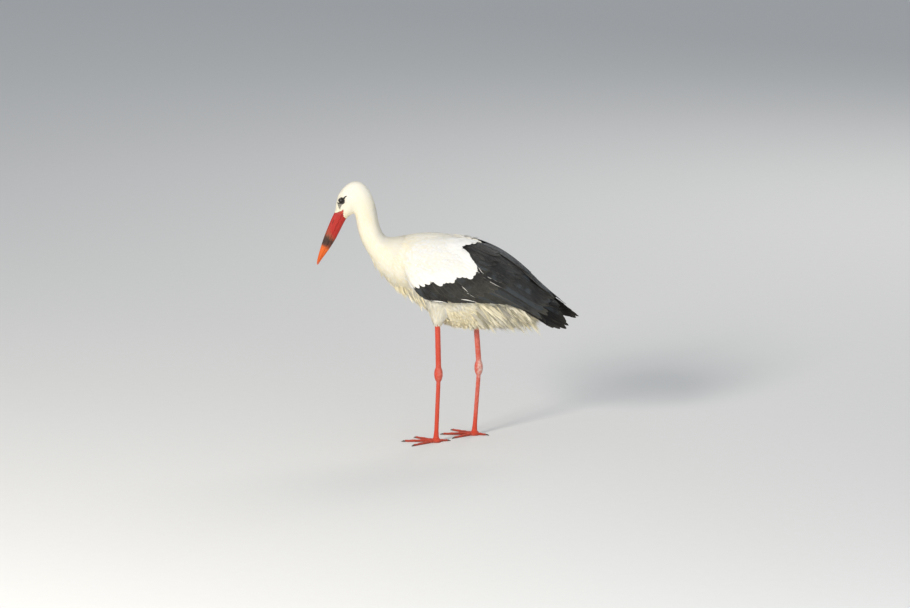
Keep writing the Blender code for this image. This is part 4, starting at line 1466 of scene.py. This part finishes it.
class STORK_OT_thigh_feathers(bpy.types.Operator):
    """Feathers of the thighs, hanging over the tops of the bare legs"""
    bl_idname = "stork.thigh_feathers"
    bl_label = "Thigh feathers"

    def execute(self, context):
        """Strews the feathers round both thighs."""
        surface = under()
        points = scattered(surface, surface.on("thigh") & (surface.face_no[:, 2] > -0.75), spacing=0.0035, seed=71)
        hem = np.where(points[:, 1] < 0, BOXES["thigh_left"][0][2], BOXES["thigh_right"][0][2])
        free = 0.45 + 0.50 * (1 - ease(points[:, 2] - hem, 0.008, 0.035))
        chance, plumage = np.random.default_rng(72), Plumage(soft=0.85)
        strew(plumage, tufts(wisps=5, spread=0.8, seed=40), points, sizes().thigh_feather, 0.0085, thick=0.00025,
              low=ROOTED, high=0.0040, seed=73, wander=0.14, twist=0.12, surface=surface, way=hang, loose=free,
              cream=varied(chance, points, 0.2, 0.5))
        plumage.joined("thigh_feathers", white_plumage("White down feathers"))
        return {"FINISHED"}


# ---------------------------------------------------------------- the folded wings and the tail

LONG_ROWS = (0.0, 0.08, 0.16, 0.24, 0.32, 0.40, 0.48, 0.56, 0.64, 0.71, 0.77, 0.83, 0.88, 0.92, 0.95, 0.975, 0.99, 1.0)
SHORT_ROWS = (0.0, 0.15, 0.3, 0.45, 0.6, 0.72, 0.82, 0.90, 0.96, 1.0)
LONG_STEPS = 14

# White slivers that show between the black feathers: root, tip and width
SLIVERS = [((0.165, 0.384), (0.265, 0.366), 0.0062), ((0.345, 0.405), (0.440, 0.366), 0.0040),
           ((0.410, 0.745), (0.455, 0.665), 0.0020), ((0.445, 0.725), (0.480, 0.655), 0.0016),
           ((0.350, 0.540), (0.385, 0.480), 0.0016)]

STIFF = 0.15           # black feathers are shaded almost by their own shape

# The rows of black feathers: lines of roots and tips as shares of the wing's box, and how each row is laid
QUILL = dict(columns=8, rows=LONG_ROWS, outline=rounded(tip=0.30, root=0.2, narrow=0.35), shaft=1.4, outer=0.62,
             frayed=0.07)
COVERT = dict(columns=6, rows=SHORT_ROWS, outline=rounded(tip=0.40, root=0.25, narrow=0.35), shaft=1.2,
                    outer=0.75, frayed=0.12)
SCAPULAR = dict(COVERT, outer=1.0)
PRIMARIES = dict(
    roots=[(0.52, 0.46), (0.58, 0.54), (0.62, 0.64)],
    tips=[(0.855, 0.07), (0.908, 0.034), (0.968, 0.023), (0.99, 0.087), (0.968, 0.171), (0.931, 0.258)],
    widths=[0.026, 0.030], shape=dict(QUILL, outline=rounded(tip=0.24, root=0.2, narrow=0.35)),
    low=-0.0035, high=-0.0002, seed=101, roll=0.075, sag=0.02, jitter=0.002, thick=0.0006, worn=0.05)
SECONDARIES = dict(
    roots=[(0.16, 0.46), (0.25, 0.50), (0.40, 0.60), (0.52, 0.70)],
    tips=[(0.34, 0.346), (0.50, 0.345), (0.62, 0.326), (0.76, 0.245), (0.845, 0.14), (0.87, 0.22)],
    widths=[0.024, 0.034, 0.036], shape=QUILL,
    low=-0.0032, high=0.0000, seed=102, roll=0.07, sag=0.03, jitter=0.003, thick=0.0006, worn=0.45)
TERTIALS = dict(
    roots=[(0.38, 0.66), (0.45, 0.82), (0.50, 0.93)], tips=[(0.79, 0.225), (0.884, 0.336), (0.855, 0.445)],
    widths=[0.044, 0.050, 0.040], shape=dict(QUILL, outer=0.8, frayed=0.12),
    low=-0.0022, high=0.0008, seed=103, roll=0.06, sag=0.04, jitter=0.004, thick=0.0006, worn=0.20)
BLACK_COVERTS = [
    dict(roots=[(0.09, 0.50), (0.25, 0.56), (0.38, 0.62), (0.44, 0.74)],
         tips=[(0.155, 0.365), (0.311, 0.352), (0.458, 0.417), (0.577, 0.534), (0.62, 0.62)],
         count=20, widths=[0.017, 0.024, 0.030], shape=COVERT, low=-0.0026, high=0.0007, seed=111, roll=0.07,
         sag=0.02, pale=np.where(np.arange(20) % 7 == 3, 0.6, 0.0), worn=0.6),
    dict(roots=[(0.070, 0.53), (0.14, 0.57), (0.24, 0.62), (0.35, 0.68), (0.40, 0.80)],
         tips=[(0.120, 0.43), (0.20, 0.43), (0.33, 0.47), (0.455, 0.55), (0.51, 0.66)],
         count=20, widths=[0.014, 0.018, 0.022], shape=COVERT, low=-0.0030, high=0.0012, seed=115, roll=0.07,
         sag=0.01, worn=0.4),
    dict(roots=[(0.070, 0.50), (0.10, 0.51), (0.14, 0.53)], tips=[(0.120, 0.415), (0.18, 0.352), (0.27, 0.375)],
         count=10, widths=[0.013, 0.017], shape=COVERT, low=-0.0008, high=0.0022, seed=112, roll=0.07,
         jitter=0.002),
    dict(roots=[(0.33, 0.84), (0.36, 0.90), (0.42, 0.97)],
         tips=[(0.60, 0.50), (0.68, 0.58), (0.74, 0.66), (0.72, 0.70)],
         count=13, widths=[0.026, 0.034], shape=SCAPULAR, low=-0.0048, high=0.0012, seed=113, roll=0.08, sag=0.03,
         jitter=0.006, pale=np.where(np.arange(13) < 2, 0.5, 0.0), worn=0.12),
    dict(roots=[(0.31, 0.85), (0.35, 0.93), (0.41, 1.0)], tips=[(0.50, 0.66), (0.56, 0.78), (0.58, 0.86)],
         count=10, widths=[0.022, 0.028], shape=SCAPULAR, low=-0.0048, high=0.0020, seed=114, roll=0.08, sag=0.02,
         jitter=0.006, worn=0.08),
]


def on_wing(side, shares):
    """Points on the outer face of a folded wing at shares of the wing's box. The right wing's tip goes on to the
    rear end of its own box."""
    shares = np.array(shares, float)
    low, high = BOXES["wing"]
    spots = low[[0, 2]] + shares * (high - low)[[0, 2]]
    if side > 0:
        right = BOXES["wing_right"]
        back = np.clip((shares[:, 0] - 0.6) / 0.4, 0.0, 1.0) ** 1.5
        spots[:, 0] += back * (right[1][0] - high[0])
        spots[:, 1] += back * (right[0][2] - low[2]) * 0.8
    surface, found = form(), []
    for x, z in spots:
        hit = surface.hit(x, side * 0.4, z, (0.0, -side, 0.0))
        if hit is None or hit.y * side < 0:
            hit = surface.outside.find_nearest(Vector((x, side * 0.03, z)))[0]
        found.append(hit[:])
    return np.array(found)


def settled(rows):
    """Lines smoothed a few times over, their ends left in place."""
    for _ in range(4):
        rows[:, 1:-1] = smoothed(rows)
    return rows


def fan(plumage, side, roots, tips, count, widths, shape, low, high, seed, roll=0.0, sag=0.0, jitter=0.004,
        thick=0.0005, **marks):
    """A row of overlapping feathers from a line of roots to a line of tips, each lying over the one below it."""
    surface, chance, shares = form(), np.random.default_rng(seed), np.linspace(0.0, 1.0, count)
    start, end = on_wing(side, along_curve(roots, shares)), on_wing(side, along_curve(tips, shares))
    end = end + chance.normal(0, jitter, end.shape) * np.array([[1, 0, 1]])
    s = np.linspace(0, 1, LONG_STEPS + 1)[None, :, None]
    length, bow = np.linalg.norm(end - start, axis=1)[:, None, None], 4 * s * (1 - s)
    line = start[:, None] * (1 - s) + end[:, None] * s
    line = line + np.array([0.0, side, 0.0]) * bow * 0.10 * length + np.array([0.0, 0.0, 1.0]) * bow * sag * length
    flat, normals = surface.near(line.reshape(-1, 3))
    path, normals = settled(flat.reshape(line.shape)), normals.reshape(line.shape)
    for _ in range(4):
        normals[:, 1:-1] = unit(normals[:, :-2] + normals[:, 2:] + 2 * normals[:, 1:-1])
    width = np.interp(shares, np.linspace(0, 1, len(widths)), widths) * chance.uniform(0.95, 1.05, count)
    spot = unrolled(path[:, 0])
    values = {"tone": chance.random(count), "worn": chance.random(count) * 0.5}
    values.update({name: np.zeros(count) for name in ("pale", "cream", "dark")})
    values.update({name: spread_over(mark, count) for name, mark in marks.items()})
    hand = 1 if side < 0 else -1
    for k in range(count):
        one = slice(k, k + 1)
        plumage.add(feather(hand=hand, seed=seed * 100 + k, **shape), path[one], normals[one], width[one], thick,
                    np.array([low]), np.array([high]), camber=0.05, roll=roll * hand, spot=spot[one],
                    marks={name: value[one] for name, value in values.items()}, surface=surface, rise=0.5)


class STORK_OT_wings(bpy.types.Operator):
    """Folded wings: primaries, secondaries, tertials, black scapulars and coverts, and the white coverts over them"""
    bl_idname = "stork.wings"
    bl_label = "Wings"

    def execute(self, context):
        """Builds both wings, each row a joined piece."""
        for name, side in SIDES.items():
            self.quills(name, side)
            self.black_coverts(name, side)
            self.white_coverts(name, side)
        return {"FINISHED"}

    def quills(self, name, side):
        """Primaries, secondaries and tertials."""
        for word, count, row, glossy in (("primary", sizes().primaries, PRIMARIES, ("Black quills", 0.10)),
                                         ("secondary", sizes().secondaries, SECONDARIES, ()),
                                         ("tertial", sizes().tertials, TERTIALS, ())):
            plumage = Plumage(soft=STIFF)
            fan(plumage, side, count=count, **row)
            if word == "tertial":
                self.cloak(plumage, side)
            plumage.joined("wing_%s_%s_feathers" % (name, word), black_plumage(*glossy), "black_feather")

    def cloak(self, plumage, side):
        """Long black feathers along the top of the folded wing, which close over the back from both sides."""
        surface, count = form(), 8
        first, last = across("trunk", 0.645), BOXES["wing" if side < 0 else "wing_right"][1][0] - 0.052
        line = np.linspace(first, last, 40)
        hits = [[surface.hit(x, side * y, 1.0, (0, 0, -1)) for y in (0.010, 0.015, 0.020)] for x in line]
        crest = np.array([max([hit.z for hit in row if hit] + [0.0]) for row in hits])
        s = np.linspace(0, 1, LONG_STEPS + 1)[None, :]
        x = np.linspace(first, last - 0.115, count)[:, None] + s * np.linspace(0.135, 0.115, count)[:, None]
        aside = np.broadcast_to(side * (0.0215 - 0.0075 * s), x.shape)
        path = settled(np.stack([x, aside, np.interp(x, line, crest) + (0.0008 if side > 0 else 0.0)], axis=2))
        normals = np.tile(unit(np.array([0.3, side * 0.22, 1.0])), (1, LONG_STEPS + 1, 1))
        chance = np.random.default_rng(116)
        outline = rounded(tip=0.34, root=0.2, narrow=0.35)
        shapes = [feather(8, LONG_ROWS, outline, shaft=1.4, frayed=0.12, seed=160 + k) for k in range(3)]
        for k in range(count):
            one, tip = path[k:k + 1], chance.uniform(0.0006, 0.0032) * (1 - 0.9 * k / count)
            marks = {"tone": chance.random(), "worn": 0.1, "pale": 0.0, "cream": 0.0, "dark": 0.0}
            plumage.add(shapes[k % 3], one, normals, np.array([0.037 - 0.0012 * k]), thick=0.0006,
                        low=np.array([-0.0050]), high=np.array([tip]), camber=0.06, spot=unrolled(one[:, 0]),
                        marks=marks, rise=0.5)

    def black_coverts(self, name, side):
        """Black greater coverts, the coverts of the bend and the black scapulars."""
        plumage = Plumage(soft=STIFF)
        for row in BLACK_COVERTS:
            fan(plumage, side, **row)
        plumage.joined("wing_%s_black_coverts" % name, black_plumage(), "black_feather")

    def white_coverts(self, name, side):
        """White lesser coverts, and the median coverts whose round tips make the edge of the white."""
        surface = form()
        low, high = BOXES["wing"]
        mine = surface.on(*("wing_%s_%s" % (name, part) for part in WING_PARTS[:3]))
        spots = wing_share(surface.centre)
        ahead = lie(surface.centre)[:, [0, 2]] * sizes().covert_feather * 1.1 / (high - low)[[0, 2]]
        mine &= within(WHITE_SIDE, spots) & within(WHITE_SIDE, spots + ahead) & (spots[:, 1] > 0.41)
        points = scattered(surface, mine & (surface.face_no[:, 1] * side > -0.2), spacing=0.0044, seed=121)
        chance, plumage = np.random.default_rng(122), Plumage()
        shapes = variants(4, 4, BODY_ROWS, rounded(tip=0.45, root=0.3, narrow=0.3), frayed=0.25)
        front = 1 - ease(wing_share(points)[:, 0], 0.0, 0.35)
        strew(plumage, shapes, points, sizes().covert_feather * (1 - 0.3 * front), 0.0118 - 0.0035 * front,
              thick=0.00022, low=-0.0024, high=0.0006, seed=123, wander=0.08, twist=0.03, camber=0.12,
              cream=creaminess(points) * 0.6 * chance.random(len(points)) * (1 + front))
        covert = dict(COVERT, outline=rounded(tip=0.48, root=0.3, narrow=0.4), shaft=0.4, outer=1.0,
                      frayed=0.10)
        edge = np.array(WHITE_EDGE)
        back = edge + np.array([[-0.062, 0.085]])
        back[:3] = edge[:3] + np.array([[-0.075, 0.03]])
        behind = np.array([[-0.03, 0.035]])
        fan(plumage, side, back, edge, count=26, widths=[0.020, 0.022, 0.021, 0.018, 0.014], shape=covert,
            low=-0.0010, high=0.0020, seed=124, jitter=0.0008, thick=0.0003, cream=0.08)
        fan(plumage, side, back[:-2] + behind, edge[:-2] + behind, count=23, widths=[0.020, 0.018, 0.014],
            shape=covert, low=-0.0014, high=0.0015, seed=125, jitter=0.0018, thick=0.0003, cream=0.10)
        sliver = dict(columns=2, rows=SHORT_ROWS, outline=pointed(root=0.3, narrow=0.2, power=2.0))
        for k, (root, tip, wide) in enumerate(SLIVERS):
            fan(plumage, side, [root, root], [tip, tip], count=1, widths=[wide], shape=sliver, low=0.0020,
                high=0.0030, seed=130 + k, jitter=0.0008, cream=0.15)
        plumage.joined("wing_%s_white_coverts" % name, white_plumage())


class STORK_OT_tail(bpy.types.Operator):
    """Short white tail under the wing tips"""
    bl_idname = "stork.tail"
    bl_label = "Tail"

    def execute(self, context):
        """Spreads the tail feathers from the rump, the middle ones on top."""
        low, high = BOXES["tail"]
        count = sizes().rectrices
        spread, sunk = np.linspace(-1.0, 1.0, count), 0.0006 * np.abs(np.arange(count) - (count - 1) / 2)
        start = np.stack([np.full(count, low[0] - 0.030), spread * 0.014, np.full(count, high[2] - 0.020)], 1)
        end = np.stack([high[0] + 0.004 - 0.012 * np.abs(spread), spread * (high[1] - 0.004),
                        low[2] + 0.022 - 0.006 * np.abs(spread)], 1)
        s = np.linspace(0, 1, 13)[None, :, None]
        path = start[:, None] * (1 - s) + end[:, None] * s + np.array([0, 0, 0.004]) * 4 * s * (1 - s)
        path[:, :, 2] -= sunk[:, None]
        normals = np.tile(unit(np.array([0.45, 0.0, 1.0])), path.shape[:2] + (1,))
        normals[:, :, 1] = spread[:, None] * 0.25
        chance, plumage = np.random.default_rng(131), Plumage()
        marks = {"tone": chance.random(count), "cream": 0.3 * chance.random(count), "dark": 0.0}
        shape = feather(6, SHORT_ROWS, rounded(tip=0.35, root=0.2, narrow=0.4), shaft=1.2, frayed=0.3)
        plumage.add(shape, path, unit(normals), np.full(count, 0.026), thick=0.0005, low=np.zeros(count),
                    high=np.zeros(count), camber=0.05, spot=unrolled(start), marks=marks)
        plumage.joined("tail_feathers", white_plumage())
        return {"FINISHED"}


# ---------------------------------------------------------------- bill, eyes and claws

# The eye's opening: half its width and height, and how far it is turned, as a cosine and a sine
EYE_WIDE, EYE_TALL, EYE_TURN = 0.0056, 0.0047, (0.97, 0.22)
# Rings of the lids: how far out from the opening, how proud of what they lie on, and how much of that is skin
LID_RINGS = [(0.0, 0.00005, 0.0), (0.0003, 0.00075, 0.0), (0.0011, 0.00095, 0.05), (0.0018, 0.00035, 0.30),
             (0.0027, 0.00055, 0.70), (0.0042, 0.0000, 1.0), (0.0056, -0.0009, 1.0)]
CLAW_LENGTH, CLAW_WIDE = 0.0112, 0.0023
NOSTRIL_AT, NOSTRIL_HALF, NOSTRIL_UP = 0.032, 0.0065, 0.0058       # along the bill, half its length, and above its line


def piece(name, mesh, material, slot, *nodes):
    """A finished smooth piece that rides on the root and stands for these nodes."""
    mesh.materials.append(material)
    obj = new_object(name, smooth_shaded(mesh))
    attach(obj, "root")
    if nodes:
        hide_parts(*nodes)
    return obj


class STORK_OT_bill(bpy.types.Operator):
    """Long red bill in two halves, with a nostril slit and fine grooves"""
    bl_idname = "stork.bill"
    bl_label = "Bill"

    def execute(self, context):
        """Refines both halves of the bill and sinks their roots into the face."""
        root, axis, length = bill_line()
        line = np.array([axis[0], 0.0, axis[1]])
        for half in ("upper", "lower"):
            mesh = even_mesh(welded(["bill_%s" % half]), "bill_%s_horn" % half, voxel=0.0008, passes=5)
            co, normals = coordinates(mesh), rows_of(mesh.vertices, "normal")
            flat = co[:, [0, 2]] - root
            along = flat @ axis / length
            above = flat @ np.array([-axis[1], axis[0]])
            above = above if axis[1] > 0 else -above
            sink, dark = self.carved(along, above, length, normals) if half == "upper" else np.zeros((2, len(co)))
            rooted = (1 - ease(along * length, -0.002, 0.003))[:, None]
            aside = co - [root[0], 0.0, root[1]]
            aside = aside - (aside @ line)[:, None] * line
            co = co - normals * sink[:, None] - rooted * (line * 0.006 + aside * 0.14)
            mesh.vertices.foreach_set("co", co.ravel())
            set_value(mesh, "along", along)
            set_value(mesh, "angle", np.arctan2(co[:, 1], above))
            set_value(mesh, "dark", dark)
            piece("bill_%s_horn" % half, mesh, bill_horn(), "bill_horn", "bill_%s" % half)
        return {"FINISHED"}

    def carved(self, along, above, length, normals):
        """How deep the nostril and the groove behind it are cut into the upper half, and how much painted shade darkens
        the nostril.
        """
        side = np.abs(normals[:, 1]) > 0.3
        beyond = np.maximum(np.abs(along * length - NOSTRIL_AT) - NOSTRIL_HALF, 0)
        slit = np.hypot(beyond, above - NOSTRIL_UP)
        groove = np.abs(above - 0.0052 * (1 - along)) + 0.004 * (1 - ease(along, 0.22, 0.30))
        sink = 0.0011 * (1 - ease(slit, 0.0002, 0.0013)) * side
        sink += 0.0003 * (1 - ease(groove, 0.0, 0.0012)) * (1 - ease(along, 0.55, 0.8))
        return sink, (1 - ease(slit, 0.0003, 0.0012)) * side


def ringed(rings):
    """A wall through rings of points, drawn by extruding a circle ring by ring, as a bmesh."""
    bm = bmesh.new()
    row = list(bmesh.ops.create_circle(bm, cap_ends=False, segments=len(rings[0]), radius=1.0)["verts"])
    edges = list(dict.fromkeys(e for v in row for e in v.link_edges))
    for k, ring in enumerate(rings):
        if k:
            grown = bmesh.ops.extrude_edge_only(bm, edges=edges)["geom"]
            fresh = {g for g in grown if isinstance(g, bmesh.types.BMVert)}
            row = [next(e.other_vert(v) for e in v.link_edges if e.other_vert(v) in fresh) for v in row]
            edges = [g for g in grown if isinstance(g, bmesh.types.BMEdge) and all(v in fresh for v in g.verts)]
        for v, point in zip(row, ring):
            v.co = Vector(point)
    return bm


class STORK_OT_eyes(bpy.types.Operator):
    """Dark wet eyes with wrinkled black lids"""
    bl_idname = "stork.eyes"
    bl_label = "Eyes"

    def execute(self, context):
        """Builds an eyeball and a ring of lids on each side."""
        for name, side in SIDES.items():
            low, high = BOXES["eye_%s" % name]
            centre, radius = middle("eye_%s" % name), float((high - low)[2] * 0.5)
            bm = bmesh.new()
            bmesh.ops.create_uvsphere(bm, u_segments=40, v_segments=24, radius=radius)
            bmesh.ops.translate(bm, vec=Vector(centre), verts=bm.verts[:])
            mesh = mesh_from(bm, "eyeball_%s" % name)
            facing = unit(coordinates(mesh) - centre) @ unit(np.array([-0.18, side, 0.0]))
            set_value(mesh, "from_pupil", np.arccos(np.clip(facing, -1, 1)) / 0.95)
            piece("eyeball_%s" % name, mesh, eye_glass(), "eye", "eye_%s" % name)
            self.lids(name, side, centre, radius)
        return {"FINISHED"}

    def lids(self, name, side, centre, radius):
        """A ring of skin from the open lids back into the mask."""
        surface, turns = form(), np.linspace(0, math.tau, 48, endpoint=False)
        wrinkle = 0.00012 * np.sin(turns * 13) + 0.00008 * np.sin(turns * 21 + 1)
        rings = []
        for out, proud, blend in LID_RINGS:
            wide, tall = EYE_WIDE + out, EYE_TALL + out * 0.9
            ring = []
            for a, bump in zip(turns, wrinkle):
                pinch = 1.0 + 0.10 * math.cos(a) ** 6
                x, z = math.cos(a) * wide * pinch, math.sin(a) * tall
                x, z = x * EYE_TURN[0] - z * EYE_TURN[1], z * EYE_TURN[0] + x * EYE_TURN[1]
                on_ball = math.sqrt(max((radius + proud) ** 2 - x * x - z * z, 1e-9))
                hit = surface.hit(centre[0] + x, side * 0.2, centre[2] + z, (0, -side, 0))
                on_skin = abs(hit.y) - abs(centre[1]) + proud - 0.0004 if hit else on_ball
                lift = (on_ball * (1 - blend) + on_skin * blend) + bump * min(out * 600, 1.0)
                ring.append((centre[0] + x, centre[1] + side * lift, centre[2] + z))
            rings.append(ring)
        bm = ringed(rings)
        bmesh.ops.recalc_face_normals(bm, faces=bm.faces[:])
        if sum(f.normal.y * f.calc_area() for f in bm.faces) * side < 0:
            bmesh.ops.reverse_faces(bm, faces=bm.faces[:])
        bmesh.ops.solidify(bm, geom=bm.faces[:], thickness=0.0004)
        mesh = mesh_from(bm, "lids_%s" % name)
        set_value(mesh, "dark", np.ones(len(mesh.vertices)))
        subdivided(piece("lids_%s" % name, mesh, bare_skin(), "leg_skin"))


class STORK_OT_claws(bpy.types.Operator):
    """Short blunt claws"""
    bl_idname = "stork.claws"
    bl_label = "Claws"

    def execute(self, context):
        """Draws each claw as a tapered horn with closed ends."""
        for name in ("%s_%s" % (side, toe) for side in SIDES for toe in TOES):
            centre, height = middle("claw_%s" % name), float(BOXES["claw_%s" % name][1][2])
            _, ahead = toe_axis(*name.split("_"))
            aside = np.array([-ahead[1], ahead[0], 0.0])
            rings = []
            for t in (0.0, 0.02, 0.25, 0.5, 0.72, 0.88, 0.97, 1.0):
                wide = CLAW_WIDE * (1 - t ** 2.2) ** 0.8 + 0.0002
                tall = height * 0.5 * (1 - t ** 1.8) ** 0.8 + 0.0002
                if t in (0.0, 1.0):
                    wide, tall = wide * 0.3, tall * 0.3
                rise = 0.0002 + tall + 0.0007 * math.sin(math.pi * t) * (1 - t) + (height * 0.35 if t == 0.0 else 0.0)
                heart = centre + ahead * (t - 0.5) * CLAW_LENGTH
                rings.append([
                    heart + aside * math.cos(a) * wide + np.array([0, 0, rise - centre[2] + math.sin(a) * tall])
                    for a in np.linspace(0, math.tau, 14, endpoint=False)
                ])
            bm = ringed(rings)
            bmesh.ops.holes_fill(bm, edges=[e for e in bm.edges if e.is_boundary], sides=20)
            bmesh.ops.recalc_face_normals(bm, faces=bm.faces[:])
            mesh = mesh_from(bm, "horn_%s" % name)
            subdivided(piece("horn_%s" % name, mesh, claw_horn(), "claw", "claw_%s" % name))
        return {"FINISHED"}


# ---------------------------------------------------------------- the stage

# Lamps: name, place, size, power and tint
LAMPS = (
    ("key", (-3.8, -4.9, 3.4), 1.8, 375.0, (1.0, 0.95, 0.87)),
    ("fill", (1.8, -4.6, 0.9), 3.0, 90.0, (0.94, 0.97, 1.0)),
    ("back", (2.5, 4.5, 4.0), 3.0, 90.0, (1.0, 0.97, 0.93)),
)
SKY, SKY_STRENGTH = (0.86, 0.92, 1.0, 1.0), 0.46
LENS, CAMERA_AWAY, CAMERA_RISE = 178.7, 14.0, math.radians(12.0)
AIM_ASIDE, AIM_UP = 0.0155, 0.0205      # how far from the middle of the stork the camera points


class STORK_OT_stage(bpy.types.Operator):
    """Pale floor, soft light and the camera"""
    bl_idname = "stork.stage"
    bl_label = "Stage"

    def execute(self, context):
        """Sets the floor, lights, world and camera."""
        scene, heart = context.scene, (np.array(FRAME_BOX[0]) + np.array(FRAME_BOX[1])) * 0.5
        bm = bmesh.new()
        bmesh.ops.create_grid(bm, x_segments=4, y_segments=4, size=20.0)
        mesh = mesh_from(bm, "floor")
        mesh.materials.append(floor_paint())
        new_object("floor", mesh)
        world = scene.world = bpy.data.worlds.new("Studio")
        world.use_nodes = True
        sky = world.node_tree.nodes["Background"]
        sky.inputs["Color"].default_value, sky.inputs["Strength"].default_value = SKY, SKY_STRENGTH
        for name, at, size, power, tint in LAMPS:
            light = bpy.data.lights.new(name, "AREA")
            light.shape, light.size, light.energy, light.color = "DISK", size, power, tint
            lamp = new_object(name, light)
            lamp.location = Vector(at)
            lamp.rotation_euler = (Vector(heart) - Vector(at)).to_track_quat("-Z", "Y").to_euler()
        camera = bpy.data.cameras.new("camera")
        camera.lens, camera.sensor_width, camera.clip_end = LENS, 36.0, 100.0
        view = scene.camera = new_object("camera", camera)
        back, up = math.cos(CAMERA_RISE) * CAMERA_AWAY, math.sin(CAMERA_RISE) * CAMERA_AWAY
        view.location = Vector(heart + np.array([AIM_ASIDE, -back, AIM_UP + up]))
        view.rotation_euler = (math.pi * 0.5 - CAMERA_RISE, 0.0, 0.0)
        scene.view_settings.view_transform = "Standard"
        return {"FINISHED"}


class STORK_PT_panel(bpy.types.Panel):
    """The stork's pieces and settings"""
    bl_idname = "STORK_PT_panel"
    bl_label = "White stork"
    bl_space_type = "VIEW_3D"
    bl_region_type = "UI"
    bl_category = "Stork"

    def draw(self, context):
        """Lists the pieces, then the sizes and colours."""
        for each in PIECES:
            self.layout.operator(each.bl_idname)
        for settings in (context.scene.stork_sizes, context.scene.stork_colours):
            box = self.layout.box()
            for label in settings.__annotations__:
                box.prop(settings, label)


PIECES = (STORK_OT_skin, STORK_OT_head_feathers, STORK_OT_neck_feathers, STORK_OT_body_feathers,
          STORK_OT_thigh_feathers, STORK_OT_wings, STORK_OT_tail, STORK_OT_bill, STORK_OT_eyes, STORK_OT_claws,
          STORK_OT_stage)


def register():
    """Adds the settings, operators and panel."""
    for made in (StorkSizes, StorkColours, *PIECES, STORK_PT_panel):
        bpy.utils.register_class(made)
    bpy.types.Scene.stork_sizes = PointerProperty(type=StorkSizes)
    bpy.types.Scene.stork_colours = PointerProperty(type=StorkColours)


def unregister():
    """Removes them again."""
    del bpy.types.Scene.stork_colours, bpy.types.Scene.stork_sizes
    for made in (STORK_PT_panel, *reversed(PIECES), StorkColours, StorkSizes):
        bpy.utils.unregister_class(made)


def main():
    """Builds every piece in order."""
    register()
    for each in PIECES:
        getattr(bpy.ops.stork, each.bl_idname.split(".")[1])()


if __name__ == "__main__":
    main()
